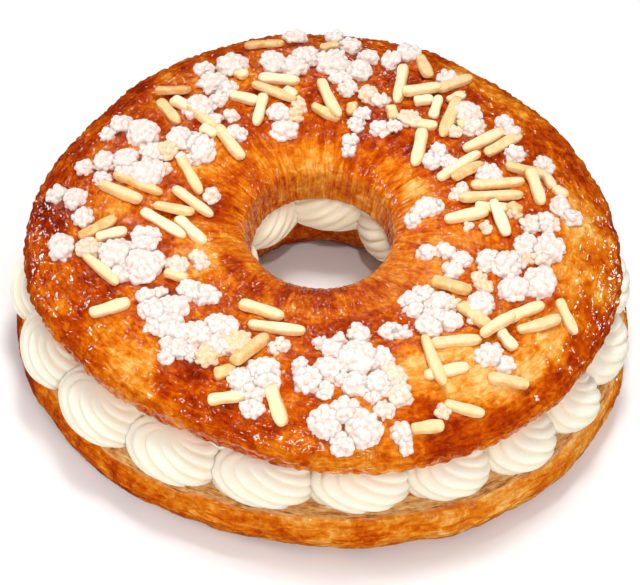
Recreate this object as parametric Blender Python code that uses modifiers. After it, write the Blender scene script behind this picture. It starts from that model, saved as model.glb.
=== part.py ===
"""King cake: a split brioche ring with piped cream between its halves and sugar clumps on its crust.

Metres, +Z up. The cake stands on z = 0 with the middle of its box on the Z axis. Angles run from +X
towards +Y, and the front of the cake faces -Y.
"""

import math

import bmesh
import bpy
import numpy as np

# The ring as a whole
GAP = 0.0003
CUT_LOW = 0.0260
CUT_HIGH = 0.0410
CRUST_TOP = 0.0710
CENTRE_SHIFT = (0.0014, -0.0025)
CRUST_STEPS = 60

# Section of the bottom half, radius and height in mm: down its outer side from the cut edge, in along
# the flat foot and up the hole's wall
BOTTOM_SECTION = (
    (136.0, 26.0),
    (139.0, 21.0),
    (140.0, 14.0),
    (137.0, 5.0),
    (132.0, 1.2),
    (126.0, 0.0),
    (50.0, 0.0),
    (45.0, 2.2),
    (41.2, 9.0),
    (40.0, 23.0),
    (42.0, 26.0),
)

# Section of the top half: a superellipse over the dome, from the funnel over the crown to the girth,
# and below it, in mm, the outer side, the flat cut face and the rim of the hole
DOME_UNDERSIDE = (
    (129.6, 49.0),
    (122.5, 43.4),
    (118.5, 41.0),
    (35.5, 41.0),
    (33.0, 42.0),
)
DOME_GIRTH_RADIUS = 0.1316
DOME_GIRTH_HEIGHT = 0.0560
DOME_CROWN_RADIUS = 0.0900
DOME_POWER = 2.12
DOME_POINTS = 9
CURVE_POINTS = 361
FUNNEL_RADIUS = 0.0345

# Uneven outline: (waves round the ring, height of the wave, angle of one of its crests in degrees)
RING_WAVES = ((3, 0.0028, 81.0),)
BOTTOM_WAVES = ((2, 0.0012, 122.0),)
DOME_WAVES = ((2, 0.0031, 135.0), (4, 0.0020, 10.0))
CROWN_WAVES = ((3, 0.0006, 20.0), (5, 0.0006, 64.0))
HOLE_OVAL = 0.0018
HOLE_CENTRE = (-0.0025, 0.0007)
HOLE_REACH = 0.0400
RING_REACH = 0.1400

# Piped cream: two rows of rosettes, each a swirl of rounded ridges. The front joints of the outer
# row are given in degrees, and the others lie evenly between the last and the first
OUTER_ROSETTES = 20
FRONT_JOINTS = (212.0, 230.5, 249.0, 268.5, 287.5, 304.0, 319.0, 333.0)
OUTER_ROW_RADIUS = 0.1180
OUTER_ROW_OVAL = 0.0026
OUTER_ROSETTE_RADIUS = 0.0200
OUTER_HALF_WIDTH = 0.0215
INNER_ROSETTES = 8
INNER_ROW_RADIUS = 0.0460
INNER_ROSETTE_RADIUS = 0.0165
INNER_HALF_WIDTH = 0.0230
INNER_JOINT = 17.0
CREAM_STEPS = 210
RIDGES = 8
RIDGE_DEPTH = 0.0012
RIDGE_TWIST = 1.1
SIDE_ROUNDNESS = 0.75

# Sections of a rosette through its middle, top to bottom in the outer row and bottom to top in the
# inner: share of its reach beyond the row's line, and depth below the crust or height above the foot
OUTER_ROSETTE_TOP = ((0.15, 0.0), (0.60, 0.0010), (0.86, 0.0036), (0.98, 0.0072), (1.00, 0.0102))
OUTER_ROSETTE_FOOT = ((0.95, 0.0018), (0.85, 0.0))
INNER_ROSETTE_FOOT = ((0.78, 0.0), (0.95, 0.0022), (1.00, 0.0056), (0.93, 0.0094))
INNER_ROSETTE_TOP = 0.62

# Sugar clumps: (angle in degrees, distance from the axis, size along the ring, size across it), in mm
CLUMPS = (
    (45, 93, 17, 17),
    (81, 98, 11, 16),
    (89, 95, 12, 15),
    (100, 98, 22, 14),
    (117, 104, 16, 12),
    (124, 91, 13, 10),
    (133, 86, 13, 13),
    (147, 73, 17, 16),
    (152, 97, 14, 12),
    (165, 88, 19, 16),
    (196, 79, 13, 11),
    (207, 89, 14, 15),
    (225, 75, 17, 11),
    (225, 94, 15, 15),
    (239, 89, 18, 17),
    (255, 106, 17, 17),
    (276, 120, 23, 19),
    (281, 88, 18, 16),
    (281, 104, 16, 9),
    (309, 68, 18, 14),
    (335, 98, 17, 15),
    (340, 82, 14, 14),
    (348, 97, 12, 14),
    (356, 96, 9, 14),
)
CLUMP_HEIGHT = 0.0052
CLUMP_LOBES = 6
CLUMP_LOBE_DEPTH = 0.13
CLUMP_LOBE_SHIFT = 1.7
CLUMP_LIFT = 0.0005
CLUMP_FLAT_TOP = 0.86
CLUMP_KNOB_HEIGHT = 0.18

# Finish of each material: colour, roughness and clear coat
FINISHES = {
    "bottom_crust": ((0.55, 0.22, 0.05), 0.55, 0.0),
    "cream": ((0.90, 0.84, 0.70), 0.45, 0.0),
    "glazed_crust": ((0.50, 0.16, 0.03), 0.30, 0.6),
    "pearl_sugar": ((0.88, 0.82, 0.80), 0.35, 0.0),
}
SHARP_ANGLE = math.radians(50.0)


def wave_sum(waves, angle):
    """Sum of cosines round the ring, one for each (waves, height, crest) entry."""
    total = 0.0 * angle
    for count, height, crest in waves:
        total = total + height * np.cos(count * (angle - math.radians(crest)))
    return total


def uneven(radius, angle, waves):
    """x and y of a ring point. The outline's waves grow from the hole outwards, and the hole's own
    oval and its centre fade in towards it."""
    outward = np.clip((radius - HOLE_REACH) / (RING_REACH - HOLE_REACH), 0.0, 1.2)
    inward = 1.0 - np.minimum(outward, 1.0)
    oval = HOLE_OVAL * np.cos(2.0 * (angle - math.pi / 2))
    reach = radius + outward * wave_sum(waves, angle) + inward * oval
    x = reach * np.cos(angle) + inward * HOLE_CENTRE[0] + CENTRE_SHIFT[0]
    y = reach * np.sin(angle) + inward * HOLE_CENTRE[1] + CENTRE_SHIFT[1]
    return x, y


def dome_curve():
    """The crust's section as arrays of radius and height, from the rim of the funnel over the crown
    to the girth: a superellipse whose two sides have their own widths."""
    turn = np.linspace(math.pi, 0.0, CURVE_POINTS)
    side = np.cos(turn)
    outer = DOME_GIRTH_RADIUS - DOME_CROWN_RADIUS
    inner = DOME_CROWN_RADIUS - FUNNEL_RADIUS
    width = np.where(side > 0.0, outer, inner)
    radius = DOME_CROWN_RADIUS + width * np.sign(side) * np.abs(side) ** (2.0 / DOME_POWER)
    rise = np.clip(np.sin(turn), 0.0, 1.0) ** (2.0 / DOME_POWER)
    return radius, DOME_GIRTH_HEIGHT + (CRUST_TOP - DOME_GIRTH_HEIGHT) * rise


def crown_share(height):
    """0 at the girth and below, 1 at the crown."""
    return np.clip((height - DOME_GIRTH_HEIGHT) / (CRUST_TOP - DOME_GIRTH_HEIGHT), 0.0, 1.0)


def crust_point(distance, angle, across, above):
    """A point that lies across the crust from a place on it, measured along the crust's section,
    and then above it, along the crust's outward direction."""
    radius, height = dome_curve()
    length = np.concatenate([[0.0], np.cumsum(np.hypot(np.diff(radius), np.diff(height)))])
    place = np.interp(distance, radius, length) + across
    tangent_radius = np.interp(place, length, np.gradient(radius, length))
    tangent_height = np.interp(place, length, np.gradient(height, length))
    flat_height = np.interp(place, length, height)
    reach = np.interp(place, length, radius) - above * tangent_height
    x, y = uneven(reach, angle, RING_WAVES + DOME_WAVES)
    z = flat_height + above * tangent_radius + crown_share(flat_height) * wave_sum(CROWN_WAVES, angle)
    return x, y, z


def in_metres(section):
    """A section given in mm as a list of radius and height in metres."""
    return [(radius / 1000.0, height / 1000.0) for radius, height in section]


def dome_profile():
    """Section of the top half: out over the dome, down its outer side, in along the cut face and up
    the hole's wall."""
    radius, height = dome_curve()
    picked = np.linspace(0, len(radius) - 1, DOME_POINTS).round().astype(int)
    over = [(float(radius[i]), float(height[i])) for i in picked]
    return over + in_metres(DOME_UNDERSIDE)


def cream_profile():
    """Section of the cream through the middle of a rosette of each row: down the outer row and up
    the inner one."""
    foot = CUT_LOW + GAP
    top = CUT_HIGH - GAP
    outer = [(share, top - depth) for share, depth in OUTER_ROSETTE_TOP]
    outer += [(share, foot + height) for share, height in OUTER_ROSETTE_FOOT]
    inner = [(share, foot + height) for share, height in INNER_ROSETTE_FOOT]
    inner += [(INNER_ROSETTE_TOP, top)]
    return (
        [(OUTER_ROW_RADIUS + OUTER_ROSETTE_RADIUS * share, height) for share, height in outer]
        + [(INNER_ROW_RADIUS - INNER_ROSETTE_RADIUS * share, height) for share, height in inner]
    )


def turned_mesh(name, profile, steps):
    """A closed section turned once round the Z axis."""
    section = bpy.data.meshes.new(name + "_section")
    points = [(radius, 0.0, height) for radius, height in profile]
    edges = [(i, (i + 1) % len(points)) for i in range(len(points))]
    section.from_pydata(points, edges, [])
    turned = bpy.data.objects.new(name + "_section", section)
    bpy.context.scene.collection.objects.link(turned)
    screw = turned.modifiers.new("Turn", "SCREW")
    screw.steps = steps
    screw.render_steps = steps
    screw.use_merge_vertices = True
    screw.merge_threshold = 0.0001
    graph = bpy.context.evaluated_depsgraph_get()
    mesh = bpy.data.meshes.new_from_object(turned.evaluated_get(graph))
    mesh.name = name
    bpy.data.objects.remove(turned)
    bpy.data.meshes.remove(section)
    return mesh


def read_points(mesh):
    """The mesh's vertices as an array of x, y, z rows."""
    points = np.empty(len(mesh.vertices) * 3)
    mesh.vertices.foreach_get("co", points)
    return points.reshape(-1, 3)


def write_points(mesh, x, y, z):
    """Puts new x, y and z arrays into the mesh."""
    mesh.vertices.foreach_set("co", np.stack([x, y, z], axis=1).ravel())
    mesh.update()


def ring_coordinates(mesh):
    """Distance from the axis, angle and height of every vertex."""
    points = read_points(mesh)
    radius = np.hypot(points[:, 0], points[:, 1])
    angle = np.arctan2(points[:, 1], points[:, 0])
    return radius, angle, points[:, 2]


def joint_angles():
    """Angles of the outer row's joints, the first again at the end a whole turn on."""
    front = np.radians(FRONT_JOINTS)
    others = OUTER_ROSETTES - len(front) + 1
    rest = np.linspace(front[-1], front[0] + 2.0 * math.pi, others + 1)[1:]
    return np.concatenate([front, rest])


def scallop(share):
    """How far a round rosette reaches at this share of its half width: a circle, 1 down to 0."""
    return np.sqrt(np.clip(1.0 - share**2, 0.0, 1.0))


def rosette_reach(reach, size, share, height):
    """Reach of a rosette beyond its row's line, with the ridges that swirl round it as it rises."""
    turn = np.arcsin(np.clip(share, -1.0, 1.0))
    rise = (height - CUT_LOW) / (CUT_HIGH - CUT_LOW)
    ridge = RIDGE_DEPTH * np.cos(RIDGES * turn + RIDGE_TWIST * 2.0 * math.pi * rise)
    side = np.clip(reach / size, 0.0, 1.0) ** 2
    return reach * scallop(share * (SIDE_ROUNDNESS + (1.0 - SIDE_ROUNDNESS) * side)) + ridge * side


def shape_cream(mesh):
    """Turns the plain cream ring into its two rows of rosettes. In the outer row, an even turn round
    the ring is stretched between one joint and the next."""
    radius, angle, height = ring_coordinates(mesh)
    turns = np.mod(angle / (2.0 * math.pi), 1.0)
    outer_turn = turns * OUTER_ROSETTES
    placed = np.interp(outer_turn, np.arange(OUTER_ROSETTES + 1), joint_angles())
    outer_share = 2.0 * (outer_turn - np.floor(outer_turn)) - 1.0
    outer_share *= math.pi * OUTER_ROW_RADIUS / OUTER_ROSETTES / OUTER_HALF_WIDTH
    outer_row = OUTER_ROW_RADIUS + OUTER_ROW_OVAL * np.cos(2.0 * placed)
    outer = outer_row + rosette_reach(
        radius - OUTER_ROW_RADIUS, OUTER_ROSETTE_RADIUS, outer_share, height
    )
    inner_turn = (placed - math.radians(INNER_JOINT)) * INNER_ROSETTES / (2.0 * math.pi)
    inner_share = 2.0 * (inner_turn - np.floor(inner_turn)) - 1.0
    inner_share *= math.pi * INNER_ROW_RADIUS / INNER_ROSETTES / INNER_HALF_WIDTH
    inner = INNER_ROW_RADIUS - rosette_reach(
        INNER_ROW_RADIUS - radius, INNER_ROSETTE_RADIUS, inner_share, height
    )
    x, y = uneven(np.where(radius > OUTER_ROW_RADIUS, outer, inner), placed, RING_WAVES)
    write_points(mesh, x, y, height)


def shape_bottom(mesh):
    """Gives the bottom half its uneven outline."""
    radius, angle, height = ring_coordinates(mesh)
    x, y = uneven(radius, angle, RING_WAVES + BOTTOM_WAVES)
    write_points(mesh, x, y, height)


def shape_dome(mesh):
    """Gives the top half its uneven outline and crown."""
    radius, angle, height = ring_coordinates(mesh)
    x, y = uneven(radius, angle, RING_WAVES + DOME_WAVES)
    crown = crown_share(height) * wave_sum(CROWN_WAVES, angle)
    write_points(mesh, x, y, height + crown)


def clump_mesh(name, number, angle, distance, along, across):
    """A lumpy cushion of sugar that lies on the crust: a sphere whose lower part is flattened, with
    lobes round its edge, laid along the ring and across it."""
    builder = bmesh.new()
    bmesh.ops.create_icosphere(builder, subdivisions=2, radius=1.0)
    mesh = bpy.data.meshes.new(name)
    builder.to_mesh(mesh)
    builder.free()
    points = read_points(mesh)
    turn = np.arctan2(points[:, 1], points[:, 0])
    lobes = 1.0 + CLUMP_LOBE_DEPTH * np.cos(CLUMP_LOBES * turn + CLUMP_LOBE_SHIFT * number)
    side_along = 0.5 * along * points[:, 0] * lobes
    side_across = 0.5 * across * points[:, 1] * lobes
    rise = 0.5 + 0.5 * np.clip(points[:, 2] / CLUMP_FLAT_TOP, -1.0, 1.0)
    uneven_top = np.cos(3.0 * points[:, 0] + number) * np.cos(4.0 * points[:, 1])
    knobs = 1.0 + CLUMP_KNOB_HEIGHT * uneven_top
    above = GAP + CLUMP_LIFT + (CLUMP_HEIGHT - CLUMP_LIFT) * rise * knobs
    x, y, z = crust_point(distance, angle + side_along / distance, side_across, above)
    write_points(mesh, x, y, z)
    return mesh


def principled(name):
    """A plain material with the finish of that name."""
    color, roughness, coat = FINISHES[name]
    material = bpy.data.materials.new(name)
    material.use_nodes = True
    shader = material.node_tree.nodes["Principled BSDF"]
    shader.inputs["Base Color"].default_value = (*color, 1.0)
    shader.inputs["Roughness"].default_value = roughness
    shader.inputs["Metallic"].default_value = 0.0
    shader.inputs["Coat Weight"].default_value = coat
    material.diffuse_color = (*color, 1.0)
    return material


def place(mesh, collection, material):
    """Adds the finished mesh to the cake as an object of the same name, shaded smooth."""
    bm = bmesh.new()
    bm.from_mesh(mesh)
    bmesh.ops.recalc_face_normals(bm, faces=bm.faces)
    bmesh.ops.triangulate(bm, faces=bm.faces)
    bm.to_mesh(mesh)
    bm.free()
    mesh.shade_smooth()
    mesh.set_sharp_from_angle(angle=SHARP_ANGLE)
    mesh.materials.append(material)
    part = bpy.data.objects.new(mesh.name, mesh)
    collection.objects.link(part)
    return part


def clear_scene():
    """Removes every object of the scene."""
    for leftover in list(bpy.data.objects):
        bpy.data.objects.remove(leftover)


def build():
    """Builds the two halves, the cream between them and the sugar clumps on the crust."""
    clear_scene()
    cake = bpy.data.collections.new("king_cake")
    bpy.context.scene.collection.children.link(cake)

    bottom = turned_mesh("bottom_half", in_metres(BOTTOM_SECTION), CRUST_STEPS)
    shape_bottom(bottom)
    place(bottom, cake, principled("bottom_crust"))

    cream = turned_mesh("cream_filling", cream_profile(), CREAM_STEPS)
    shape_cream(cream)
    place(cream, cake, principled("cream"))

    dome = turned_mesh("top_half", dome_profile(), CRUST_STEPS)
    shape_dome(dome)
    place(dome, cake, principled("glazed_crust"))

    sugar = principled("pearl_sugar")
    for number, (angle, distance, along, across) in enumerate(CLUMPS, start=1):
        clump = clump_mesh(
            f"sugar_clump_{number:02d}",
            number,
            math.radians(angle),
            distance / 1000,
            along / 1000,
            across / 1000,
        )
        place(clump, cake, sugar)


build()
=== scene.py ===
"""Looks of the king cake: a split brioche ring with piped cream, pearl sugar and almond slivers.

Metres, +Z up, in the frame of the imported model. Angles run from +X towards +Y, and the front of the
cake faces -Y. A place on the crust is an angle and a distance from the axis.
"""

import math
from itertools import product

import bpy
import numpy as np
from bpy.props import FloatProperty, FloatVectorProperty, IntProperty, PointerProperty
from mathutils import Matrix, Vector
from mathutils.bvhtree import BVHTree


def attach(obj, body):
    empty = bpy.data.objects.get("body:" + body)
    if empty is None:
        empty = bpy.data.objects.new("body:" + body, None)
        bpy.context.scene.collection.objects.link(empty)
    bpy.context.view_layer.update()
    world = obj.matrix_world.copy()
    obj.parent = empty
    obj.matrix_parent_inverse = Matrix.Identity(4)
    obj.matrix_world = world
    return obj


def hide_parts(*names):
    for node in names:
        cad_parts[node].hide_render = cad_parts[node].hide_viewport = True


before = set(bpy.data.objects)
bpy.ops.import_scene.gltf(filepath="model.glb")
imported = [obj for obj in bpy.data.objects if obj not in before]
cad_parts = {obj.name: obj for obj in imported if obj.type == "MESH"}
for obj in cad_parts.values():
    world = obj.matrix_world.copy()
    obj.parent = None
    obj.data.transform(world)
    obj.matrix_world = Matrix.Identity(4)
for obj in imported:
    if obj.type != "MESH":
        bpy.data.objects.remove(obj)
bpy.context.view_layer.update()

bl_info = {
    "name": "King Cake",
    "version": (1, 0, 0),
    "blender": (4, 5, 0),
    "location": "View3D > Sidebar > King Cake",
    "description": "Brioche ring with piped cream, pearl sugar and almond slivers",
    "category": "Add Mesh",
}

MM = 0.001

# The ring as a whole
CUT_LOW = 0.0260
CUT_HIGH = 0.0410
CRUST_TOP = 0.0710
CENTRE_SHIFT = (0.0014, -0.0025)
HOLE_OVAL = 0.0018
HOLE_CENTRE = (-0.0025, 0.0007)
HOLE_REACH = 0.0400
RING_REACH = 0.1400

# Uneven outline: (waves round the ring, height of the wave, angle of one of its crests in degrees)
RING_WAVES = ((3, 0.0028, 81.0),)
BOTTOM_WAVES = ((2, 0.0012, 122.0),)
DOME_WAVES = ((2, 0.0031, 135.0), (4, 0.0020, 10.0))
CROWN_WAVES = ((3, 0.0006, 20.0), (5, 0.0006, 64.0))

# Section of the top half
DOME_EDGE_RADIUS = 0.1185
DOME_GIRTH_RADIUS = 0.1316
DOME_GIRTH_HEIGHT = 0.0560
DOME_CROWN_RADIUS = 0.0900
DOME_POWER = 2.12
CURVE_POINTS = 361
FUNNEL_RADIUS = 0.0345
RIM_RADIUS = 0.0330

# Section of the bottom half
FOOT_RADIUS = 0.1260
GIRTH_RADIUS = 0.1400
GIRTH_HEIGHT = 0.0140
CUT_EDGE_RADIUS = 0.1360
HOLE_FOOT_RADIUS = 0.0500
HOLE_WALL_RADIUS = 0.0400

# How the sections are cut into rows: the step in which an outline is walked, the length over which
# its corners are rounded, and how close the rows lie out of sight, where 1 is their closeness
# elsewhere
SECTION_STEP = 0.00025
SECTION_ROUNDING = 0.003
CORE_ROUNDING = 0.004
QUIET_DENSITY = 0.12

# Grids: points round each form, and points along its section
CRUST_GRID = (580, 168)
SLAB_GRID = (600, 130)
CORE_GRID = (180, 40)
ROSETTE_GRID = (136, 36)
LARGE_SUGAR_GRID = (66, 22)
SMALL_SUGAR_GRID = (52, 18)
SLIVER_GRID = (22, 20)

# Browning, from 0 for raw dough to 1 for burnt: the middle value of each half, its least and its
# most, and how much each thing adds to it
CRUST_BROWNING = 0.55
CRUST_BROWNING_ENDS = (0.16, 0.95)
CRUST_CLOUDS = 0.10
CRUST_STREAKS = 0.07
CRUST_SPECKS = 0.06
CRUST_HOLLOWS = 40.0
CRUST_EDGE = -0.34
CRUST_FUNNEL = -0.11
CRUST_PATCH_STRENGTH = 0.65
SLAB_BROWNING = 0.50
SLAB_BROWNING_ENDS = (0.02, 0.95)
SLAB_CLOUDS = 0.10
SLAB_WRINKLES = -0.10
SLAB_FOOT = 0.20
SLAB_UPPER_SIDE = -0.14
SLAB_PALE_SPOTS = -0.16
# Painted light: the slab is paler towards the right front, as if lit from that side
SLAB_LIT_SIDE = -0.16
SLAB_LIT_SIDE_ANGLE = math.radians(332.0)
SLAB_HOLE_WALL = -0.12
SLAB_CUT_EDGE = 0.45
# Edge of a patch of browning: how ragged it is, the size of that, and where it starts to fade and
# is gone, as shares of the patch's reach
PATCH_RAGGEDNESS = 0.45
PATCH_RAGGED_SIZE = 0.011
PATCH_FADE = (0.55, 1.25)

# Sizes of the patterns on the two halves in metres. One with three follows the ring, and has its
# size down the section first, except that the slab's wrinkles have their three along x, y and z.
CRUST_WARP_SIZE = 0.014
CRUST_LUMP_SIZE = 0.030
CRUST_WRINKLE_SIZE = (0.016, 0.0055, 0.0055)
CRUST_BLISTER_SIZE = 0.0042
CRUST_CLOUD_SIZE = 0.026
CRUST_STREAK_SIZE = (0.030, 0.0065, 0.0065)
CRUST_SPECK_SIZE = 0.008
CRUST_TEAR_SIZE = (0.020, 0.0045, 0.0045)
SLAB_WARP_SIZE = 0.012
SLAB_LUMP_SIZE = 0.020
SLAB_WRINKLE_SIZE = (0.008, 0.008, 0.0042)
SLAB_FIBRE_SIZE = (0.0024, 0.010, 0.010)
SLAB_CLOUD_SIZE = 0.018
SLAB_SPOT_SIZE = 0.010
# Levels of the wrinkles and of the blisters that stay in place, so that neither swells the piece
WRINKLE_LEVEL = 0.72
BLISTER_LEVEL = 0.6
# The slab's cut face: height of its torn fibres, and height and fineness of the waves of its edge
SLAB_FIBRE_HEIGHT = 0.0007
SLAB_EDGE_HEIGHT = 0.0011
SLAB_EDGE_WAVES = 9.0

# Piped cream
OUTER_ROSETTES = 20
FRONT_JOINTS = (212.0, 230.5, 249.0, 268.5, 287.5, 304.0, 319.0, 333.0)
OUTER_MIDDLE = 0.54
OUTER_OVERLAP = 1.13
OUTER_ROW_RADIUS = 0.1225
OUTER_ROW_OVAL = 0.0026
OUTER_REACH = 0.0156
OUTER_BACK_REACH = 0.0230
OUTER_LEAN = 0.10
INNER_ROSETTES = 8
INNER_ROW_RADIUS = 0.0460
INNER_REACH = 0.0165
INNER_BACK_REACH = 0.0165
INNER_WIDTH = 0.0225
INNER_JOINT = 17.0
CORE_INNER_RADIUS = 0.0460
CORE_OUTER_RADIUS = 0.1180
# Painted shade on the cream core between and under the rosettes
CORE_SHADE = 0.3
ROSETTE_SINK = 0.0006
ROSETTE_RISE = 0.0004
ROSETTE_SIZE_SPREAD = 0.025
ROSETTE_BEND_SPREAD = 0.5
# A rosette's form: the half turns from its top to its foot, the powers that shape its width, its
# tuck at the foot, its height and its ridges, and the share of a ridge that stands proud
ROSETTE_TURN = 0.68
ROSETTE_WIDTH_POWER = 0.92
ROSETTE_TUCK = 0.20
ROSETTE_HEIGHT_POWER = 1.25
ROSETTE_RIDGE_POWER = 3.0
ROSETTE_RIDGE_LEVEL = 0.8
# Painted shade added to the inner rosettes, down in the hole
INNER_SHADE = 0.5

# Sugar on the crust, each patch an oval: angle in degrees, distance, size along the ring and across
# it in mm, and how peach it is, from 0 to 1. The first table holds the patches of the large clumps.
LARGE_SUGAR = (
    (45, 94, 15, 14, 0.0),
    (39, 90, 9, 11, 0.15),
    (80, 104, 10, 9, 0.0),
    (81, 93, 12, 12, 0.0),
    (89, 96, 15, 15, 0.0),
    (86, 86, 10, 8, 0.0),
    (105, 98, 13, 14, 0.0),
    (100, 93, 13, 13, 0.0),
    (96, 101, 13, 14, 0.0),
    (116, 103, 15, 14, 0.0),
    (123, 107, 9, 9, 0.0),
    (124, 95, 14, 12, 0.0),
    (122, 88, 11, 9, 0.0),
    (127, 84, 9, 8, 0.0),
    (134, 86, 14, 14, 0.0),
    (148, 79, 12, 12, 0.0),
    (148, 67, 16, 12, 0.0),
    (146, 73, 12, 10, 0.0),
    (155, 71, 6, 8, 0.1),
    (152, 96, 14, 14, 0.0),
    (163, 95, 13, 11, 0.0),
    (166, 82, 17, 14, 0.0),
    (158, 86, 10, 10, 0.0),
    (168, 92, 9, 10, 0.0),
    (194, 79, 10, 12, 0.0),
    (199, 82, 10, 13, 0.0),
    (207, 87, 17, 15, 0.0),
    (206, 96, 10, 9, 0.1),
    (206, 80, 11, 8, 0.0),
    (223, 77, 12, 11, 0.0),
    (228, 74, 12, 11, 0.0),
    (222, 97, 14, 11, 0.0),
    (225, 90, 12, 13, 0.0),
    (228, 98, 10, 13, 0.0),
    (240, 85, 17, 12, 0.0),
    (236, 94, 13, 13, 0.0),
    (243, 95, 12, 10, 0.1),
    (256, 100, 14, 12, 0.0),
    (252, 108, 12, 10, 0.0),
    (258, 106, 11, 10, 0.0),
    (255, 112, 14, 8, 0.1),
    (256, 118, 9, 8, 0.0),
    (275, 114, 13, 10, 0.0),
    (271, 119, 13, 14, 0.0),
    (278, 121, 14, 15, 0.0),
    (274, 127, 11, 9, 0.0),
    (280, 88, 16, 17, 0.0),
    (286, 90, 9, 11, 0.0),
    (278, 102, 11, 11, 0.0),
    (283, 102, 11, 12, 0.0),
    (307, 64, 12, 10, 0.0),
    (312, 64, 10, 9, 0.0),
    (312, 72, 13, 10, 0.0),
    (304, 69, 10, 8, 0.0),
    (308, 75, 9, 8, 0.0),
    (331, 92, 14, 12, 0.0),
    (336, 100, 17, 14, 0.0),
    (338, 77, 12, 10, 0.0),
    (339, 85, 14, 13, 0.0),
    (342, 89, 9, 7, 0.0),
    (348, 90, 11, 10, 0.0),
    (348, 100, 15, 13, 0.0),
    (344, 98, 8, 9, 0.3),
    (355, 92, 10, 10, 0.2),
    (356, 98, 11, 11, 0.1),
)
SMALL_SUGAR = (
    (151, 109, 10, 12, 0.0),
    (155, 112, 8, 7, 0.0),
    (165, 104, 12, 10, 0.0),
    (168, 111, 8, 8, 0.0),
    (171, 101, 8, 8, 0.0),
    (176, 119, 9, 9, 0.0),
    (178, 110, 12, 10, 0.0),
    (185, 105, 11, 9, 0.0),
    (193, 115, 15, 11, 0.0),
    (195, 104, 11, 12, 0.5),
    (199, 95, 14, 13, 0.0),
    (197, 90, 8, 7, 0.0),
    (211, 73, 11, 9, 0.3),
    (212, 63, 10, 8, 0.35),
    (217, 94, 8, 9, 0.0),
    (218, 88, 6, 6, 0.1),
    (226, 103, 7, 8, 0.0),
    (232, 99, 12, 9, 0.0),
    (234, 106, 14, 9, 0.1),
    (234, 112, 7, 7, 0.0),
    (247, 91, 12, 13, 0.85),
    (238, 104, 7, 7, 0.0),
    (242, 103, 10, 10, 0.9),
    (259, 84, 7, 6, 0.2),
    (257, 87, 6, 6, 0.2),
    (265, 94, 8, 9, 0.0),
    (267, 101, 11, 12, 0.0),
    (272, 94, 12, 12, 0.0),
    (273, 83, 9, 10, 0.0),
    (270, 79, 6, 6, 0.0),
    (276, 77, 6, 6, 0.0),
    (271, 105, 7, 8, 0.0),
    (275, 98, 7, 8, 0.0),
    (282, 75, 9, 11, 0.0),
    (287, 99, 10, 12, 0.45),
    (287, 108, 10, 11, 0.35),
    (283, 114, 8, 8, 0.15),
    (281, 108, 6, 6, 0.0),
    (285, 123, 9, 9, 0.1),
    (285, 128, 6, 7, 0.1),
    (294, 118, 6, 6, 0.6),
    (292, 75, 9, 8, 0.0),
    (295, 78, 8, 7, 0.0),
    (303, 80, 10, 12, 0.0),
    (316, 76, 7, 7, 0.5),
    (310, 82, 11, 10, 0.0),
    (315, 88, 4, 4, 0.1),
    (321, 85, 13, 12, 0.0),
    (328, 81, 8, 8, 0.85),
    (330, 77, 8, 7, 0.75),
    (335, 67, 9, 9, 0.0),
    (329, 66, 9, 9, 0.1),
    (334, 52, 8, 9, 0.0),
    (337, 59, 8, 9, 0.1),
    (6, 48, 11, 12, 0.0),
    (359, 43, 8, 8, 0.0),
    (7, 53, 8, 6, 0.0),
    (343, 91, 7, 7, 0.8),
    (3, 105, 12, 9, 0.0),
    (359, 109, 9, 9, 0.0),
    (18, 106, 10, 9, 0.0),
    (24, 97, 10, 9, 0.0),
    (36, 105, 9, 9, 0.0),
    (32, 103, 9, 9, 0.0),
    (41, 81, 7, 6, 0.5),
    (18, 80, 12, 11, 0.0),
    (29, 67, 9, 8, 0.0),
    (37, 67, 9, 8, 0.0),
    (35, 61, 9, 8, 0.0),
    (11, 64, 8, 9, 0.2),
    (15, 66, 5, 5, 0.2),
    (359, 85, 6, 7, 0.8),
    (353, 66, 6, 4, 0.4),
    (352, 73, 6, 5, 0.5),
    (89, 120, 9, 9, 0.0),
    (85, 113, 10, 11, 0.0),
    (98, 117, 11, 11, 0.0),
    (127, 73, 8, 7, 0.1),
    (130, 63, 10, 9, 0.0),
    (133, 75, 8, 6, 0.0),
    (155, 81, 10, 11, 0.8),
    (162, 76, 5, 5, 0.6),
    (168, 52, 8, 7, 0.3),
    (109, 65, 11, 10, 0.0),
    (109, 55, 12, 11, 0.0),
    (100, 69, 7, 8, 0.75),
    (103, 63, 8, 8, 0.85),
    (83, 80, 9, 10, 0.1),
    (76, 79, 9, 9, 0.6),
    (71, 77, 9, 8, 0.15),
    (75, 65, 8, 8, 0.0),
    (76, 59, 8, 8, 0.0),
    (76, 49, 7, 7, 0.0),
    (75, 44, 6, 6, 0.0),
    (65, 60, 9, 8, 0.0),
    (60, 64, 7, 7, 0.0),
    (57, 72, 11, 9, 0.55),
    (71, 116, 12, 12, 0.0),
    (74, 107, 9, 12, 0.0),
    (58, 109, 10, 10, 0.0),
    (310, 105, 12, 11, 0.0),
    (311, 112, 9, 8, 0.1),
)

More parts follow.
